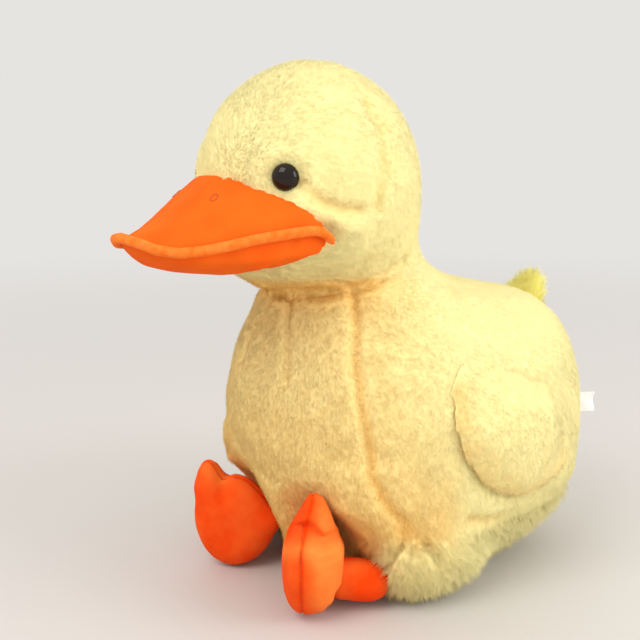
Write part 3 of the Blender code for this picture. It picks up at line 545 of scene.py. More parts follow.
def keep_value(item, name, values):
    """Keeps on a cover a value for each point, such as its tone, which holds painted shade in creases and
    painted highlights.
    """
    layer = item.data.attributes.get(name) or item.data.attributes.new(name, "FLOAT", "POINT")
    layer.data.foreach_set("value", np.clip(values, 0.0, 1.0))


def kept_value(item, name, otherwise):
    """Reads a value that a cover keeps for each point."""
    layer = item.data.attributes.get(name)
    values = np.full(len(item.data.vertices), otherwise)
    if layer is not None:
        layer.data.foreach_get("value", values)
    return values


def surface_samples(item, count, rng):
    """Scatters places evenly over a mesh, with the normal, the kept tone with its painted shade and
    highlights, and the pile's share at each.
    """
    mesh = item.data
    mesh.calc_loop_triangles()
    total = len(mesh.loop_triangles)
    corners = np.empty(total * 3, dtype=np.int32)
    mesh.loop_triangles.foreach_get("vertices", corners)
    corners = corners.reshape(-1, 3)
    co, normals = points_of(item)
    a, b, c = co[corners[:, 0]], co[corners[:, 1]], co[corners[:, 2]]
    area = np.linalg.norm(np.cross(b - a, c - a), axis=1) / 2
    picks = rng.choice(total, size=count, p=area / area.sum())
    u = np.sqrt(rng.random(count))
    v = rng.random(count)
    wa, wb, wc = 1 - u, u * (1 - v), u * v
    places = a[picks] * wa[:, None] + b[picks] * wb[:, None] + c[picks] * wc[:, None]
    na, nb, nc = (normals[corners[picks, i]] for i in range(3))
    ways = na * wa[:, None] + nb * wb[:, None] + nc * wc[:, None]
    ways /= np.maximum(np.linalg.norm(ways, axis=1), 1e-9)[:, None]
    kept = []
    for name, otherwise in (("tone_with_painted_light", 0.0), ("pile", 1.0)):
        values = kept_value(item, name, otherwise)
        kept.append(sum(values[corners[picks, i]] * share for i, share in enumerate((wa, wb, wc))))
    return places, ways, kept[0], kept[1]


def surface_area(item):
    """Gives a mesh's area in square metres."""
    return sum(face.area for face in item.data.polygons)


def solid_tree(item):
    """Gives a search tree over a mesh, for telling what lies inside it."""
    bm = bmesh.new()
    bm.from_mesh(item.data)
    tree = BVHTree.FromBMesh(bm)
    bm.free()
    return tree


def outside_of(places, trees, depth=0.0):
    """Tells which places lie outside all of some closed meshes, or less deep than a depth."""
    keep = np.ones(len(places), dtype=bool)
    for tree, low, high in trees:
        near = np.all((places > low) & (places < high), axis=1) & keep
        for index in np.nonzero(near)[0]:
            place = Vector(places[index])
            hit, normal, _, _ = tree.find_nearest(place)
            if hit is not None and (place - hit).dot(normal) < -depth:
                keep[index] = False
    return keep


def lift_over(tree, place):
    """Gives how far a place lies off a mesh, with the nearest place on it and its normal."""
    hit, normal, _, _ = tree.find_nearest(Vector(place))
    return (Vector(place) - hit).dot(normal), np.array(hit), np.array(normal)


def tree_with_box(item):
    """Gives a mesh's search tree with its box."""
    co, _ = points_of(item)
    return solid_tree(item), co.min(0), co.max(0)


def strand_mesh(name, roots, tips, ways, widths, shades, materials):
    """Makes one mesh of closed three-sided strands that taper to their tips."""
    count = len(roots)
    rng = np.random.default_rng(count)
    run = tips - roots
    run /= np.maximum(np.linalg.norm(run, axis=1), 1e-9)[:, None]
    other = rng.normal(size=(count, 3))
    u = np.cross(run, other)
    u /= np.maximum(np.linalg.norm(u, axis=1), 1e-9)[:, None]
    v = np.cross(run, u)
    co = np.empty((count, 4, 3))
    normals = np.empty((count, 4, 3))
    for corner in range(3):
        angle = 2 * math.pi * corner / 3
        spoke = u * math.cos(angle) + v * math.sin(angle)
        co[:, corner] = roots + spoke * (widths / 2)[:, None]
        normals[:, corner] = ways + spoke * 0.25
    co[:, 3] = tips
    normals[:, 3] = ways
    normals /= np.linalg.norm(normals, axis=2)[:, :, None]
    first = np.arange(count, dtype=np.int32)[:, None] * 4
    pattern = np.array((0, 1, 3, 1, 2, 3, 2, 0, 3, 0, 2, 1), dtype=np.int32)
    corners = (first + pattern).ravel()
    mesh = bpy.data.meshes.new(name)
    mesh.vertices.add(count * 4)
    mesh.vertices.foreach_set("co", co.ravel())
    mesh.loops.add(count * 12)
    mesh.loops.foreach_set("vertex_index", corners)
    mesh.polygons.add(count * 4)
    mesh.polygons.foreach_set("loop_start", np.arange(0, count * 12, 3, dtype=np.int32))
    for material in materials:
        mesh.materials.append(material)
    mesh.polygons.foreach_set("material_index", np.repeat(shades.astype(np.int32), 4))
    mesh.polygons.foreach_set("use_smooth", np.ones(count * 4, dtype=bool))
    mesh.update(calc_edges=True)
    mesh.normals_split_custom_set_from_vertices(normals.reshape(-1, 3))
    item = bpy.data.objects.new(name, mesh)
    bpy.context.scene.collection.objects.link(item)
    return item


def brush_pile(name, cover, body, slot, materials, comb, keep, length, width, density, lean, clump, seed):
    """Grows a cover's pile: leaning strands that gather in tufts, combed one way."""
    rng = np.random.default_rng(sizes().seed * 1000 + seed)
    count = int(surface_area(cover) * density)
    roots, ways, tone_and_painted_light, cut = surface_samples(cover, count, rng)
    chosen = keep(roots, ways)
    roots, ways, tone_and_painted_light, cut = roots[chosen], ways[chosen], tone_and_painted_light[chosen], cut[chosen]
    count = len(roots)
    flow = np.asarray(comb(roots, ways), dtype=float)
    flow -= np.sum(flow * ways, 1)[:, None] * ways
    flow /= np.maximum(np.linalg.norm(flow, axis=1), 1e-6)[:, None]
    turn = soft_noise(roots, 0.045, 50) * 0.3
    side = np.cross(ways, flow)
    flow = flow * np.cos(turn)[:, None] + side * np.sin(turn)[:, None]
    centres = max(1, count // 14)
    tree = KDTree(centres)
    for index in range(centres):
        tree.insert(roots[index], index)
    tree.balance()
    owner = np.fromiter((tree.find(place)[1] for place in roots), dtype=np.int64, count=count)
    sway = rng.normal(size=(centres, 3))
    lengths = length * cut * rng.uniform(0.72, 1.12, count)
    aim = ways + flow * lean + sway[owner] * clump + rng.normal(size=(count, 3)) * 0.08
    aim /= np.linalg.norm(aim, axis=1)[:, None]
    tips = roots + aim * lengths[:, None]
    tips[:, 2] = np.maximum(tips[:, 2], 0.0005)
    base = roots - ways * 0.0006
    base[:, 2] = np.maximum(base[:, 2], 0.0005)
    widths = width * rng.uniform(0.75, 1.2, count)
    # Each strand takes the cover's tone at its root, with its painted shade and highlights.
    tone = (TONE_COUNT - 1) * (tone_and_painted_light + 0.03 * soft_noise(roots, 0.020, 3)) + rng.normal(size=count) * 0.25
    shades = np.clip(np.round(tone), 0, len(materials) - 1)
    item = strand_mesh(name, base, tips, ways, widths, shades, materials)
    hold(item, body)
    return item


def comb_down(roots, ways):
    """Lays the pile down the sides, and towards the tail on the back."""
    top = smoothstep(ways[:, 2], 0.30, 0.75)
    flow = np.zeros_like(roots)
    flow[:, 1] = 0.35 + 0.65 * top
    flow[:, 2] = -0.95 + 0.85 * top
    return flow


def comb_head(roots, ways):
    """Lays the head's pile back from the bill, over the crown and down the nape."""
    flow = np.zeros_like(roots)
    flow[:, 1] = 1.0
    flow[:, 2] = 0.20 - 1.10 * smoothstep(roots[:, 1], -0.13, -0.07)
    return flow


def eye_axis(word):
    """Gives the middle of an eye's back face and the way it looks, from its CAD solid."""
    node = frame["nodes"]["eye_" + word]
    co = np.array([node.matrix_world @ vert.co for vert in node.data.vertices])
    outward = math.copysign(math.sin(EYE_GUESS), co[:, 0].mean())
    guess = Vector((outward, -math.cos(EYE_GUESS), 0))
    along = co @ np.array(guess)
    apex = co[np.argmax(along)]
    end = co[along < along.min() + 0.0008].mean(0)
    way = Vector(apex - end).normalized()
    return Vector(apex) - way * EYE_DOME, way


def keep_largest(item):
    """Drops the crumbs that a grid leaves beside its main body."""
    bm = bmesh.new()
    bm.from_mesh(item.data)
    left = set(bm.verts)
    best = set()
    while left:
        stack = [left.pop()]
        island = set(stack)
        while stack:
            for edge in stack.pop().link_edges:
                for vert in edge.verts:
                    if vert in left:
                        left.discard(vert)
                        island.add(vert)
                        stack.append(vert)
        if len(island) > len(best):
            best = island
    bmesh.ops.delete(bm, geom=[vert for vert in bm.verts if vert not in best], context="VERTS")
    bm.to_mesh(item.data)
    bm.free()


def covered(places, ways, trees, reach):
    """Tells which places lie under one of some meshes, within a reach along their normals."""
    hidden = np.zeros(len(places), dtype=bool)
    for tree, low, high in trees:
        near = np.all((places > low - reach) & (places < high + reach), axis=1) & ~hidden
        for index in np.nonzero(near)[0]:
            hit, _, _, _ = tree.ray_cast(Vector(places[index]), Vector(ways[index]), reach)
            hidden[index] = hit is not None
    return hidden


def fill_hollows(item, share, rounds):
    """Lets the cloth bridge its hollows where a share is set, and never draws it in."""
    mesh = item.data
    edges = np.empty(len(mesh.edges) * 2, dtype=np.int32)
    mesh.edges.foreach_get("vertices", edges)
    a, b = edges.reshape(-1, 2).T
    count = len(mesh.vertices)
    degree = np.bincount(edges, minlength=count)[:, None]
    for _ in range(rounds):
        co, normals = points_of(item)
        total = np.empty_like(co)
        for axis in range(3):
            total[:, axis] = np.bincount(a, weights=co[b, axis], minlength=count)
            total[:, axis] += np.bincount(b, weights=co[a, axis], minlength=count)
        move = total / degree - co
        rise = np.sum(move * normals, 1)[:, None]
        co += (normals * np.maximum(rise, 0.0) + (move - rise * normals) * 0.5) * share[:, None]
        set_points(item, co)


def fill_lap(item):
    """Lets the belly run smoothly down between the feet."""
    co, normals = points_of(item)
    across = np.abs(co[:, 0])
    column = np.clip(np.interp(across, LAP_X, range(len(LAP_X))), 0, len(LAP_X) - 1.001)
    row = np.clip(np.interp(co[:, 2], LAP_Z, range(len(LAP_Z))), 0, len(LAP_Z) - 1.001)
    i, j = column.astype(int), row.astype(int)
    s, t = column - i, row - j
    front = np.array(LAP_FRONT)
    low = front[i, j] * (1 - t) + front[i, j + 1] * t
    high = front[i + 1, j] * (1 - t) + front[i + 1, j + 1] * t
    wanted = low * (1 - s) + high * s
    share = smoothstep(-co[:, 1], 0.03, 0.06) * (1 - smoothstep(across, 0.100, 0.108))
    share *= smoothstep(co[:, 2], -0.004, 0.008) * (1 - smoothstep(co[:, 2], 0.112, 0.122))
    share *= smoothstep(-normals[:, 1], 0.0, 0.2)
    co[:, 1] += np.minimum(wanted - co[:, 1], 0.0) * share
    set_points(item, co)


def chest_seam_x(heights):
    """Gives how far out the left chest seam lies at some heights."""
    return np.interp(heights, [z for _, z in CHEST_SEAM], [x for x, _ in CHEST_SEAM])


def rim_share(co):
    """Gives 0 on a wing's outline as seen from its side, and rises to 1 at its middle."""
    flat = co[:, 1:] - (co[:, 1:].min(0) + co[:, 1:].max(0)) / 2
    radius = np.linalg.norm(flat, axis=1)
    turn = np.arctan2(flat[:, 1], flat[:, 0])
    sector = np.minimum(((turn + math.pi) / (2 * math.pi) * RIM_SECTORS).astype(int), RIM_SECTORS - 1)
    outline = np.zeros(RIM_SECTORS)
    np.maximum.at(outline, sector, radius)
    middles = (np.arange(RIM_SECTORS) + 0.5) / RIM_SECTORS * 2 * math.pi - math.pi
    reach = np.interp(turn, middles, outline, period=2 * math.pi)
    return np.clip(1 - (radius / reach) ** 2, 0.0, 1.0)


def widen_corner(co, share):
    """Draws the corners of the mouth out and back on to the cheeks."""
    corner = share * smoothstep(co[:, 1], -0.185, -0.152) * smoothstep(np.abs(co[:, 0]), 0.030, 0.055)
    co[:, 0] += np.sign(co[:, 0]) * 0.0062 * corner
    co[:, 1] += 0.0062 * corner


def is_head(places):
    """Tells which places lie above the neck."""
    return places[:, 2] > NECK_LINE_Z


def foot_axes(side):
    """Gives a foot's middle, its outward way, its upward way and the way its sole looks."""
    sole = np.array((-math.sin(FOOT_TOE_IN) * side, -math.cos(FOOT_TOE_IN), 0.0))
    outer = np.array((math.cos(FOOT_TOE_IN) * side, -math.sin(FOOT_TOE_IN), 0.0))
    middle = np.array((ANKLE[0] * side, ANKLE[1], FOOT_MIDDLE_Z)) + sole * FOOT_AHEAD
    return middle, outer, np.array((0.0, 0.0, 1.0)), sole


def fold_near_foot(co, tone_and_painted_light, places, ways):
    """Raises the left foot's toe and folds its outer edge over, and paints highlights on its instep flank and
    on top of the lower lobe.
    """
    u, v, w = places
    outer, up, sole = ways
    tall = smoothstep(v, 0.012, 0.040)
    co += up * (0.011 * tall)[:, None]
    co -= sole * ((w * 0.30 + 0.0066) * tall)[:, None]
    co -= outer * (0.006 * tall * smoothstep(u, 0.0, 0.02))[:, None]
    arch = v - 0.0235 + np.minimum(30.0 * w * w, 0.0060)
    fold = bell(arch, 0.0030) * smoothstep(u, 0.0, 0.014)
    lobe = smoothstep(-arch, 0.001, 0.006) * smoothstep(u, 0.0, 0.014)
    co += outer * (0.0075 * lobe - 0.0085 * fold)[:, None]
    # Painted highlights: paler on the instep flank and along the top of the lower lobe.
    tone_and_painted_light -= 0.55 * smoothstep(-w, 0.0, 0.014) * smoothstep(u, -0.01, 0.01)
    tone_and_painted_light -= 0.50 * lobe * bell(arch + 0.007, 0.007)


def notch_far_foot(co, tone_and_painted_light, places, ways):
    """Dents the right foot's web and draws its toes apart, and paints a highlight at the notch in its web."""
    u, v, w = places
    outer, up, sole = ways
    web = np.hypot(u - 0.008, (v - 0.024) * 0.45) / 0.0065
    co -= sole * (0.0028 * np.exp(-web ** 2) * smoothstep(w, 0.0, 0.008))[:, None]
    notch = bell(u - 0.010, 0.0055) * smoothstep(v, 0.022, 0.034)
    toe = bell(u - 0.028, 0.009) * smoothstep(v, 0.022, 0.042)
    heel = bell(v + 0.002, 0.010) * smoothstep(-u, 0.016, 0.032)
    co += up * (0.0050 * toe - 0.0060 * notch - 0.0026 * smoothstep(-v, 0.015, 0.035))[:, None]
    co -= outer * (0.0040 * heel)[:, None]
    # Painted highlight at the web's notch.
    tone_and_painted_light -= 0.60 * np.exp(-((u - 0.010) / 0.018) ** 2 - ((v - 0.036) / 0.010) ** 2)


class DUCK_OT_fur(Operator):
    """Sews and stuffs the fur skin of the body, head and thighs, with its seams and folds"""
    bl_idname = "duck.fur"
    bl_label = "Fur skin"

    def execute(self, context):
        """Makes the skin."""
        tint = colours()
        cover = take_solids("fur_cover", ("body_filling", "head_filling", "thigh_filling_left",
                                          "thigh_filling_right"))
        grid_cloth(cover, sizes().fur_voxel, 2)
        co, normals = points_of(cover)
        set_points(cover, co + normals * FUR_INFLATION)
        grid_cloth(cover, sizes().fur_voxel, 3)
        keep_largest(cover)
        co, _ = points_of(cover)
        nape = smoothstep(co[:, 1], -0.105, -0.055) * smoothstep(co[:, 2], 0.215, 0.235)
        nape *= 1 - smoothstep(co[:, 2], 0.30, 0.33)
        hip = smoothstep(np.abs(co[:, 0]), 0.06, 0.08) * (1 - smoothstep(co[:, 2], 0.09, 0.12))
        hip *= smoothstep(co[:, 1], -0.085, -0.055) * smoothstep(co[:, 2], 0.02, 0.035)
        lap = smoothstep(-co[:, 1], 0.05, 0.07) * (1 - smoothstep(np.abs(co[:, 0]), 0.050, 0.080))
        lap *= smoothstep(co[:, 2], 0.02, 0.05) * (1 - smoothstep(co[:, 2], 0.12, 0.15))
        fill_lap(cover)
        fill_hollows(cover, np.maximum(np.maximum(0.8 * nape, 0.9 * hip), 0.5 * lap), 32)
        stuff(cover, 0.002)
        subdivide(cover)
        co, normals = points_of(cover)
        co -= normals * FUR_DEPTH
        set_points(cover, co)
        co, normals = points_of(cover)
        body = ~is_head(co)
        front = smoothstep(-co[:, 1], 0.03, 0.06) * body
        seam_x = chest_seam_x(co[:, 2])
        # The honey chest panel's own tone, deepened towards the feet as painted shade and painted orange
        # bounce light, and again under the chin as painted shade.
        level = np.interp(co[:, 2], (0.0, 0.03, 0.10, 0.18, 0.235), (1.0, 0.90, 0.58, 0.36, 0.44))
        outside = smoothstep(np.abs(co[:, 0]) - seam_x, 0.0, 0.045)
        tone_and_painted_light = 0.02 + front * level * (1 - outside)
        cut = np.ones(len(co))
        for side in (1.0, -1.0):
            away = np.abs(co[:, 0] * side - seam_x) * 0.9 + (1 - front) * 0.05
            pull(co, normals, away, 0.0042, 0.0024)
            # Painted shade along the chest seam's groove.
            tone_and_painted_light += 0.42 * bell(away, 0.0022)
            cut -= 0.50 * bell(away, 0.0030)
            for line, depth, width, glow, painted_shade_width, trim, trim_width, fade in SKIN_LINES:
                away = line_distance(co, normals, mirror_line(line, side))
                pull(co, normals, away, depth, width)
                behind = smoothstep(co[:, 1], -0.09, -0.06)
                # Painted shade: the tone deepens along each seam and fold, where shade falls in its crease.
                tone_and_painted_light += glow * bell(away, painted_shade_width) * (1 - fade * behind)
                cut -= trim * bell(away, trim_width)
        thigh = smoothstep(np.abs(co[:, 0]), 0.07, 0.085) * (1 - smoothstep(co[:, 2], 0.045, 0.065))
        tone_and_painted_light *= 1 - 0.75 * thigh * (1 - smoothstep(co[:, 1], 0.0, 0.03))
        # Painted shade under the chin, across the front of the neck.
        neck = bell(co[:, 2] - 0.236, 0.016) * smoothstep(-co[:, 1], 0.06, 0.09)
        tone_and_painted_light += 0.38 * neck
        back = np.abs(co[:, 0]) + (1 - smoothstep(co[:, 1], -0.02, 0.0)) * 0.05 + is_head(co) * 0.05
        pull(co, normals, back, 0.0022, 0.0045)
        pull(co, normals, np.abs(co[:, 1] - HEAD_SEAM_Y) + body * 0.05, 0.0012, 0.0045)
        pull(co, normals, np.abs(co[:, 2] - BASE_SEAM_Z), 0.0014, 0.0045)
        for word, side in SIDES:
            corner = np.linalg.norm(co - np.array((MOUTH_CORNER[0] * side,) + MOUTH_CORNER[1:]), axis=1)
            pull(co, normals, corner, 0.0050, 0.0090)
            place, _ = eye_axis(word)
            away = np.linalg.norm(co - np.array(place), axis=1)
            pull(co, normals, away, 0.0034, 0.0120)
            pull(co, normals, np.abs(away - 0.019), -0.0022, 0.0070)
            tone_and_painted_light -= 0.07 * bell(away, 0.030)
        co += normals * (0.0008 * soft_noise(co, 0.050, 11) + 0.00016 * soft_noise(co, 0.012, 12))[:, None]
        co[:, 2] = np.maximum(co[:, 2], 0.0008)
        set_points(cover, co)
        keep_value(cover, "tone_with_painted_light", tone_and_painted_light)
        keep_value(cover, "pile", cut)
        # The skin's deep tone: the chest panel's own honey, and the painted shade in the seams and folds.
        honey_and_shade_tone = tuple(0.62 * warm_part + 0.38 * part for warm_part, part in zip(tint.honey, tint.cream))
        material = cloth_shader("fur_skin", tint.cream, honey_and_shade_tone, 0.016, 0.0022, 0.15, 0.0006, warmed=True)
        finish_cover(cover, BODY, FUR_NODES, material)
        return {"FINISHED"}


class DUCK_OT_bill(Operator):
    """Sews the bill's two halves, the mouth piping and the nostrils"""
    bl_idname = "duck.bill"
    bl_label = "Bill"

    def execute(self, context):
        """Makes the bill's pieces."""
        tint = colours()
        velboa = cloth_shader("bill_velboa", tint.orange, tint.deep_orange, 0.012, 0.0012, 0.10, 0.0004,
                              warmed=True)
        cover = take_solids("bill_cover", ("bill_filling",))
        grid_cloth(cover, 0.0026, 4)
        keep_largest(cover)
        stuff(cover, 0.0012, 0.5)
        subdivide(cover)
        co, normals = points_of(cover)
        co += normals * (0.0022 + 0.0006 * soft_noise(co, 0.030, 31))[:, None]
        mouth = np.interp(co[:, 1], (-0.247, -0.235, -0.205, -0.170, -0.150), MOUTH_HEIGHTS)
        widen_corner(co, 1 - 0.5 * smoothstep(mouth - co[:, 2], 0.004, 0.016))
        below = smoothstep(mouth - co[:, 2], 0.001, 0.010)
        sag = smoothstep(co[:, 1], -0.225, -0.170)
        co[:, 2] -= 0.0080 * below * sag
        co[:, 0] *= 1 + 0.05 * below * sag
        lower = below > 0.0
        top = smoothstep(normals[:, 2], 0.2, 0.5)
        ridge = np.abs(co[:, 0]) + (1 - top) * 0.02
        pull(co, normals, ridge, 0.0009, 0.0016)
        for side in (1.0, -1.0):
            fold = line_distance(co, normals, mirror_line(BILL_FOLD, side))
            pull(co, normals, fold, 0.0016, 0.0030)
        tone_and_painted_light = 0.62 + 0.22 * soft_noise(co, 0.030, 35) - 0.35 * bell(ridge, 0.007)
        tone_and_painted_light += np.where(lower, 0.15 * smoothstep(co[:, 1], -0.165, -0.150) - 0.10, 0.0)
        set_points(cover, co)
        keep_value(cover, "tone_with_painted_light", tone_and_painted_light)
        finish_cover(cover, BODY, ("bill_filling", "bill_upper", "bill_lower"), velboa)
        terry = cloth_shader("piping_terry", tint.foot_orange, tint.orange, 0.006, 0.0012, 0.20, 0.0009)
        piping = take_solids("mouth_piping_cover", ("mouth_piping",))
        grid_cloth(piping, 0.0009, 10)
        co, normals = points_of(piping)
        co += normals * (0.0006 + 0.00004 * soft_noise(co, 0.0040, 33))[:, None]
        co[:, 1] = np.where(co[:, 1] > -0.144, -0.144 + (co[:, 1] + 0.144) * 0.25, co[:, 1])
        widen_corner(co, 1.0)
        co[:, 2] -= 0.0015 * smoothstep(co[:, 1], -0.150, -0.138)
        set_points(piping, co)
        finish_cover(piping, BODY, ("mouth_piping",), terry)
        thread = thread_shader("bill_thread", tint.thread)
        skin = solid_tree(cover)
        for word, _ in SIDES:
            low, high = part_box("nostril_" + word)
            middle = (Vector(low) + Vector(high)) / 2
            _, normal, _, _ = skin.find_nearest(middle)
            along = (Vector((0.0, 0.45, 1.0)) - normal * normal.dot(Vector((0.0, 0.45, 1.0)))).normalized()
            across = normal.cross(along)
            ring = []
            for step in range(NOSTRIL_STITCHES + 1):
                turn = 2 * math.pi * step / NOSTRIL_STITCHES
                place = middle + along * (0.0036 * math.cos(turn)) + across * (0.0022 * math.sin(turn))
                ring.append(skin.find_nearest(place)[0] + normal * 0.0002)
            row = stitch_row("nostril_ring_" + word, ring, BODY, thread, 0.0009)
            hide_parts("nostril_" + word)
        ridge_line = []
        for share in np.linspace(0.0, 1.0, 40):
            start = Vector((0.0, -0.232 + 0.078 * share, 0.40))
            hit, _, _, _ = skin.ray_cast(start, Vector((0.0, 0.0, -1.0)))
            if hit is not None:
                ridge_line.append(hit)
        stitch_row("bill_ridge_stitches", even_places(ridge_line, RIDGE_STITCH), BODY,
                   thread, 0.0006)
        return {"FINISHED"}


class DUCK_OT_eyes(Operator):
    """Moulds the glossy safety eyes"""
    bl_idname = "duck.eyes"
    bl_label = "Eyes"

    def execute(self, context):
        """Makes both eyes."""
        gloss, _, _ = new_material("eye_gloss", colours().eye, {"Roughness": 0.07, "Specular IOR Level": 0.3})
        for word, _ in SIDES:
            place, way = eye_axis(word)
            deselect_all()
            bpy.ops.mesh.primitive_uv_sphere_add(segments=40, ring_count=24, radius=sizes().eye_radius)
            eye = bpy.context.object
            eye.name = "eye_dome_" + word
            edit_all(bpy.ops.mesh.bisect, plane_co=(0, 0, EYE_CUT), plane_no=(0, 0, 1), use_fill=True,
                     clear_inner=True)
            squash = Matrix.Diagonal((1.0, 1.0, EYE_FLATNESS, 1.0))
            sunk = place - way * EYE_SINK + Vector((0.0, 0.0, EYE_LIFT))
            seat = Matrix.Translation(sunk) @ way.to_track_quat("Z", "Y").to_matrix().to_4x4()
            eye.data.transform(seat @ squash)
            eye.data.materials.append(gloss)
            make_active(eye)
            bpy.ops.object.shade_smooth_by_angle(angle=math.radians(40))
            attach(eye, BODY)
            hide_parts("eye_" + word)
        return {"FINISHED"}


class DUCK_OT_wings(Operator):
    """Stuffs the wings, which thin out towards their upper edges, where they lie flat on the flanks"""
    bl_idname = "duck.wings"
    bl_label = "Wings"

    def execute(self, context):
        """Makes both wings."""
        tint = colours()
        skin = solid_tree(bpy.data.objects["fur_cover"])
        for word, side in SIDES:
            cover = take_solids("wing_cover_" + word, ("wing_filling_" + word,))
            grid_cloth(cover, 0.0032, 4)
            subdivide(cover)
            co, _ = points_of(cover)
            lifts = np.array([lift_over(skin, place)[0] for place in co])
            share = np.clip((lifts - lifts.min()) / (lifts.max() - lifts.min()), 0.0, 1.0)
            high = np.maximum(co[:, 2] - 0.130, 0.0)
            co[:, 2] += high * 0.55
            co[:, 1] += 0.006 * smoothstep(co[:, 1], 0.0, 0.06)
            inner = rim_share(co)
            melt = np.maximum(smoothstep(co[:, 2], 0.125, 0.175),
                              smoothstep(co[:, 1], 0.025, 0.070) * smoothstep(co[:, 2], 0.08, 0.11))
            front = 1 - smoothstep(co[:, 1], -0.045, -0.020)
            melt *= 1 - 0.45 * front
            thick = 0.0150 - 0.0030 * melt
            share = share * (1 - melt + melt * inner ** 2)
            root = 0.0006 - 0.0016 * melt
            low = 1 - smoothstep(co[:, 2], 0.090, 0.135)
            co[:, 2] -= 0.0080 * low * (1 - 0.5 * smoothstep(co[:, 1], 0.0, 0.05))
            placed = np.empty_like(co)
            for index, place in enumerate(co):
                _, hit, normal = lift_over(skin, place)
                placed[index] = hit + normal * (root[index] + thick[index] * share[index])
            set_points(cover, placed)
            fill_hollows(cover, np.full(len(placed), 0.5), 3)
            co, normals = points_of(cover)
            slit = line_distance(co, normals, mirror_line(WING_SLIT, side))
            edge = smoothstep(-(lifts - lifts.min()), -0.012, -0.002)
            # Painted shade in the wing's slit and along its lower edge, where the wing overhangs the flank.
            tone_and_painted_light = 0.05 + 0.35 * bell(slit, 0.010) + 0.30 * edge * (co[:, 2] < 0.13)
            keep_value(cover, "tone_with_painted_light", tone_and_painted_light)
            material = cloth_shader("wing_skin_" + word, tint.cream, tint.honey, 0.016, 0.0022, 0.25, 0.0010,
                                    warmed=True)
            finish_cover(cover, "wing_" + word, ("wing_filling_" + word, "wing_" + word),
                         material)
        return {"FINISHED"}


class DUCK_OT_legs(Operator):
    """Stuffs the orange legs and the webbed feet"""
    bl_idname = "duck.legs"
    bl_label = "Legs and feet"

    def execute(self, context):
        """Makes both sides."""
        tint = colours()
        velboa = cloth_shader("foot_velboa", tint.foot_orange, tint.foot_deep, 0.012, 0.0012, 0.05, 0.0004,
                              warmed=True)
        thread = thread_shader("foot_thread", tint.thread)
        for word, side in SIDES:
            leg = take_solids("leg_cover_" + word, ("leg_filling_" + word,))
            grid_cloth(leg, 0.0022, 4)
            subdivide(leg)
            co, normals = points_of(leg)
            co += normals * (0.0027 + 0.0006 * soft_noise(co, 0.025, 41))[:, None]
            middle, outer, up, sole = foot_axes(side)
            ankle = np.array((ANKLE[0] * side, ANKLE[1], ANKLE[2]))
            inside = smoothstep((co - middle) @ sole, -0.026, -0.014)
            co += (ankle - co) * (0.5 * inside)[:, None]
            co[:, 2] = np.maximum(co[:, 2], 0.0008)
            set_points(leg, co)
            keep_value(leg, "tone_with_painted_light", 0.85 + 0.15 * soft_noise(co, 0.025, 42))
            finish_cover(leg, "leg_" + word, ("leg_filling_" + word, "leg_" + word), velboa)
            foot = take_solids("foot_cover_" + word, ("foot_filling_" + word,))
            grid_cloth(foot, 0.0024, 3)
            stuff(foot, 0.0015, 0.5)
            subdivide(foot)
            co, normals = points_of(foot)
            co += normals * (0.0024 + 0.0006 * soft_noise(co, 0.030, 61))[:, None]
            middle, outer, up, sole = foot_axes(side)
            away = co - middle
            u, v, w = away @ outer, away @ up, away @ sole
            rim = smoothstep(np.abs(normals @ outer) + np.abs(normals @ up), 0.70, 0.95)
            seam = bell(w, 0.0014) * rim
            # Painted shade in the groove of the rim seam.
            tone_and_painted_light = 0.86 + 0.10 * soft_noise(co, 0.028, 62) + 0.5 * seam
            shape = fold_near_foot if side > 0 else notch_far_foot
            shape(co, tone_and_painted_light, (u, v, w), (outer, up, sole))
            co -= normals * (0.0014 * seam)[:, None]
            co[:, 2] = np.maximum(co[:, 2], 0.0008)
            set_points(foot, co)
            keep_value(foot, "tone_with_painted_light", tone_and_painted_light)
            finish_cover(foot, "foot_" + word, ("foot_filling_" + word, "foot_sole_" + word,
                                                "foot_instep_" + word), velboa)
            skin = solid_tree(foot)
            edge = []
            for turn in np.linspace(0.0, 2 * math.pi, 160):
                way = Vector(outer * math.cos(turn) + up * math.sin(turn))
                hit, _, _, _ = skin.ray_cast(Vector(middle) + way * 0.09, -way)
                if hit is not None:
                    edge.append(Vector((hit.x, hit.y, max(hit.z, 0.0010))))
            stitch_row("foot_stitches_" + word, even_places(edge, FOOT_STITCH), "foot_" + word,
                       thread, 0.0007)
        return {"FINISHED"}


class DUCK_OT_tail(Operator):
    """Stuffs the tail and folds the care label"""
    bl_idname = "duck.tail"
    bl_label = "Tail and label"

    def execute(self, context):
        """Makes the tail and the label."""
        tint = colours()
        tail = take_solids("tail_cover", ("tail_filling",))
        grid_cloth(tail, 0.0022, 4)
        subdivide(tail)
        co, normals = points_of(tail)
        set_points(tail, co + normals * 0.0030)
        keep_value(tail, "tone_with_painted_light", np.full(len(co), 0.05))
        material = cloth_shader("tail_skin", tint.lemon, tint.honey, 0.016, 0.0022, 0.25, 0.0010, warmed=True)
        finish_cover(tail, BODY, ("tail_filling", "tail"), material)
        label = take_solids("label_cover", ("care_label",))
        edit_all(bpy.ops.mesh.subdivide, number_cuts=9)
        co, _ = points_of(label)
        low, high = co.min(0), co.max(0)
        thin = int(np.argmin(high - low))
        free = (co[:, 1] - low[1]) / (high[1] - low[1])
        tall = (co[:, 2] - low[2]) / (high[2] - low[2])
        co[:, thin] += 0.0011 * free * np.sin(2 * math.pi * (0.8 * tall + 0.3 * free))
        set_points(label, co)
        shaded = tuple(0.9 * part for part in tint.label)
        satin = cloth_shader("label_satin", tint.label, shaded, 0.004, 0.0005, 0.2, 0.0002, roughness=0.45)
        label.data.materials.append(satin)
        make_active(label)
        bpy.ops.object.shade_smooth_by_angle(angle=math.radians(40))
        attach(label, BODY)
        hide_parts("care_label")
        return {"FINISHED"}


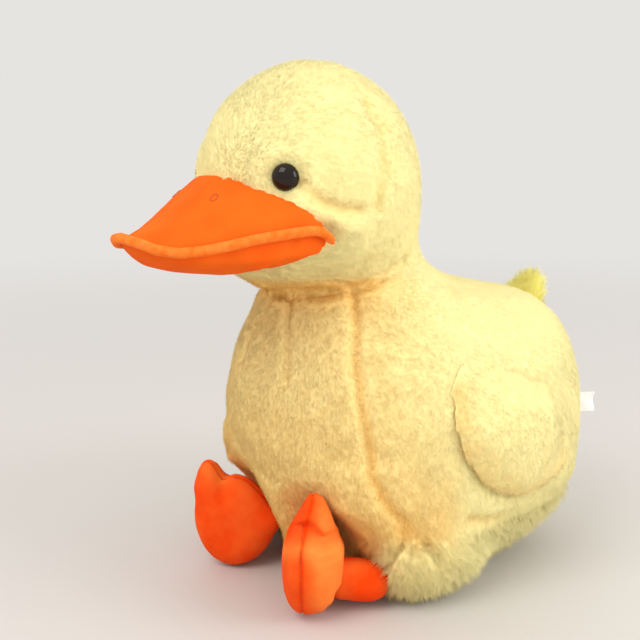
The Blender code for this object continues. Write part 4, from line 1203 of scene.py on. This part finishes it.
def fade_floor(material):
    """Lets the floor run into the pale background far from the duck, where the camera sees it."""
    tree = material.node_tree
    place = add_node(tree, "TexCoord")
    away = add_node(tree, "VectorMath", operation="LENGTH")
    tree.links.new(place.outputs["Object"], away.inputs[0])
    far = add_node(tree, "MapRange", {"From Min": 0.35, "From Max": 2.40}, interpolation_type="SMOOTHSTEP")
    tree.links.new(away.outputs["Value"], far.inputs["Value"])
    rays = add_node(tree, "LightPath")
    seen = add_node(tree, "Math", operation="MULTIPLY")
    tree.links.new(far.outputs["Result"], seen.inputs[0])
    tree.links.new(rays.outputs["Is Camera Ray"], seen.inputs[1])
    glow = add_node(tree, "Emission", {"Color": BACKDROP})
    mix_shaders(tree, seen, tree.nodes["Principled BSDF"], glow, "Material Output")


def mix_shaders(tree, share, first, second, output):
    """Mixes two shaders into a tree's output."""
    mix = add_node(tree, "MixShader")
    tree.links.new(share.outputs[0], mix.inputs["Fac"])
    tree.links.new(first.outputs[0], mix.inputs[1])
    tree.links.new(second.outputs[0], mix.inputs[2])
    tree.links.new(mix.outputs[0], tree.nodes[output].inputs["Surface"])


def clear_of_eyes(roots):
    """Keeps roots that don't lie under an eye."""
    keep = np.ones(len(roots), dtype=bool)
    for word, _ in SIDES:
        place, _ = eye_axis(word)
        keep &= np.linalg.norm(roots - np.array(place), axis=1) > sizes().eye_radius * 0.99
    return keep


class DUCK_OT_pile(Operator):
    """Brushes the pile of every fur cover"""
    bl_idname = "duck.pile"
    bl_label = "Pile"

    def execute(self, context):
        """Grows the pile."""
        tint = colours()
        pile = sizes()
        find = bpy.data.objects
        fur = tones("fur_pile", tint.cream, tint.honey)
        lemon = tones("lemon_pile", tint.lemon, tint.honey)
        skin = find["fur_cover"]
        bill = tree_with_box(find["bill_cover"])
        skin_tree = tree_with_box(skin)
        wings = [tree_with_box(find["wing_cover_" + word]) for word, _ in SIDES]

        def region(name):
            def keep(roots, ways):
                head = is_head(roots)
                chest = (roots[:, 1] < -0.03) & (np.abs(roots[:, 0]) < chest_seam_x(roots[:, 2]))
                seat = (roots[:, 2] < 0.003) & (ways[:, 2] < -0.7)
                thigh = (np.abs(roots[:, 0]) > 0.066) & (roots[:, 2] < 0.055)
                left = roots[:, 0] >= 0
                front = roots[:, 1] < 0.05
                upper = roots[:, 2] >= CHEST_MIDDLE_Z
                side = ~head & ~chest & ~thigh
                chosen = {
                    "face": head & (roots[:, 1] < HEAD_SEAM_Y),
                    "back_of_head": head & (roots[:, 1] >= HEAD_SEAM_Y),
                    "chest_upper": chest & ~head & ~thigh & upper,
                    "chest_lower": chest & ~head & ~thigh & ~upper,
                    "side_left_front": side & left & front,
                    "side_left_rear": side & left & ~front,
                    "side_right_front": side & ~left & front,
                    "side_right_rear": side & ~left & ~front,
                    "thigh_left": thigh & ~head & left,
                    "thigh_right": thigh & ~head & ~left,
                }[name] & ~seat
                if name == "face":
                    chosen &= clear_of_eyes(roots)
                    part = outside_of(roots[chosen], [bill], 0.0005)
                    chosen[np.nonzero(chosen)[0][~part]] = False
                if name.startswith("side"):
                    hidden = covered(roots[chosen], ways[chosen], wings, 0.006)
                    chosen[np.nonzero(chosen)[0][hidden]] = False
                return chosen
            return keep

        base = {"length": pile.pile_length, "width": pile.pile_width, "density": pile.pile_density,
                "lean": 1.7, "clump": 0.015}
        for index, name in enumerate(FUR_REGIONS):
            comb = comb_head if name in ("face", "back_of_head") else comb_down
            look = dict(base)
            if name.startswith("thigh"):
                look.update(length=pile.pile_length * 2.3, lean=0.9, clump=0.45)
            slot = "honey_fur" if name.startswith("chest") else "cream_fur"
            brush_pile("pile_" + name, skin, BODY, slot, fur, comb, region(name), seed=1 + index, **look)
        for index, (word, _) in enumerate(SIDES):
            brush_pile("pile_wing_" + word, find["wing_cover_" + word], "wing_" + word, "cream_fur", fur,
                       comb_down, lambda roots, ways: outside_of(roots, [skin_tree], 0.0),
                       seed=20 + index, **base)
        tail = dict(base, length=0.011, lean=1.1, clump=0.35)
        brush_pile("pile_tail", find["tail_cover"], BODY, "lemon_fur", lemon,
                   lambda roots, ways: np.tile((0.0, 0.6, 0.8), (len(roots), 1)),
                   lambda roots, ways: outside_of(roots, [skin_tree], 0.001), seed=30, **tail)
        return {"FINISHED"}


class DUCK_OT_stage(Operator):
    """Sets the pale floor, the soft lamps and the camera"""
    bl_idname = "duck.stage"
    bl_label = "Stage"

    def execute(self, context):
        """Makes the stage."""
        scene = context.scene
        deselect_all()
        bpy.ops.mesh.primitive_plane_add(size=1.0)
        floor = bpy.context.object
        floor.name = "studio_floor"
        edit_all(bpy.ops.transform.resize, value=(8.0, 8.0, 1.0))
        material, _, _ = new_material("floor_paint", colours().floor, {"Roughness": 0.6})
        fade_floor(material)
        floor.data.materials.append(material)
        world = bpy.data.worlds.new("studio_air")
        scene.world = world
        world.use_nodes = True
        tree = world.node_tree
        sky = tree.nodes["Background"]
        set_sockets(sky, {"Color": SKY, "Strength": 1.0})
        seen = add_node(tree, "Background", {"Color": BACKDROP, "Strength": 1.0})
        rays = add_node(tree, "LightPath")
        either = add_node(tree, "Math", operation="MAXIMUM")
        tree.links.new(rays.outputs["Is Camera Ray"], either.inputs[0])
        tree.links.new(rays.outputs["Is Glossy Ray"], either.inputs[1])
        mix_shaders(tree, either, sky, seen, "World Output")
        for name, place, power in LAMPS:
            lamp = bpy.data.lights.new(name, "AREA")
            lamp.energy = power
            lamp.size = LAMP_SIZE
            lamp_item = bpy.data.objects.new(name, lamp)
            lamp_item.location = place
            lamp_item.rotation_mode = "QUATERNION"
            lamp_item.rotation_quaternion = (Vector(place) - Vector(LAMP_TARGET)).to_track_quat("Z", "Y")
            scene.collection.objects.link(lamp_item)
        lens = bpy.data.cameras.new("photo_camera")
        lens.sensor_width = SENSOR_WIDTH
        lens.lens = SENSOR_WIDTH * FOCAL_LENGTH_PX / PHOTO_SIDE_PX
        camera = bpy.data.objects.new("photo_camera", lens)
        yaw = math.atan(CAMERA_OFFSET_PX / FOCAL_LENGTH_PX)
        across, ahead = math.sin(CAMERA_AROUND), math.cos(CAMERA_AROUND)
        camera.location = (CAMERA_DISTANCE * across, -CAMERA_DISTANCE * ahead, CAMERA_HEIGHT)
        camera.rotation_euler = (math.pi / 2 - CAMERA_TILT, 0.0, CAMERA_AROUND + yaw)
        scene.collection.objects.link(camera)
        scene.camera = camera
        scene.view_settings.view_transform = "Standard"
        return {"FINISHED"}


class DUCK_PT_panel(Panel):
    """Lists the duck's making steps"""
    bl_idname = "DUCK_PT_panel"
    bl_label = "Plush duck"
    bl_space_type = "VIEW_3D"
    bl_region_type = "UI"
    bl_category = "Duck"

    def draw(self, context):
        """Draws a button for each step, and the sizes and colours."""
        for step in STEPS:
            self.layout.operator(step.bl_idname)
        for group in (context.scene.duck_sizes, context.scene.duck_colours):
            for name in group.__annotations__:
                self.layout.prop(group, name)


STEPS = (DUCK_OT_fur, DUCK_OT_bill, DUCK_OT_eyes, DUCK_OT_wings, DUCK_OT_legs, DUCK_OT_tail, DUCK_OT_pile,
         DUCK_OT_stage)
CLASSES = (DuckSizes, DuckColours) + STEPS + (DUCK_PT_panel,)


def register():
    """Registers the classes and their settings."""
    for item in CLASSES:
        bpy.utils.register_class(item)
    bpy.types.Scene.duck_sizes = PointerProperty(type=DuckSizes)
    bpy.types.Scene.duck_colours = PointerProperty(type=DuckColours)


def unregister():
    """Takes the settings and classes away."""
    del bpy.types.Scene.duck_colours
    del bpy.types.Scene.duck_sizes
    for item in reversed(CLASSES):
        bpy.utils.unregister_class(item)


def main():
    """Makes the duck step by step."""
    register()
    bpy.ops.duck.fur()
    bpy.ops.duck.bill()
    bpy.ops.duck.eyes()
    bpy.ops.duck.wings()
    bpy.ops.duck.legs()
    bpy.ops.duck.tail()
    bpy.ops.duck.pile()
    bpy.ops.duck.stage()


if __name__ == "__main__":
    main()
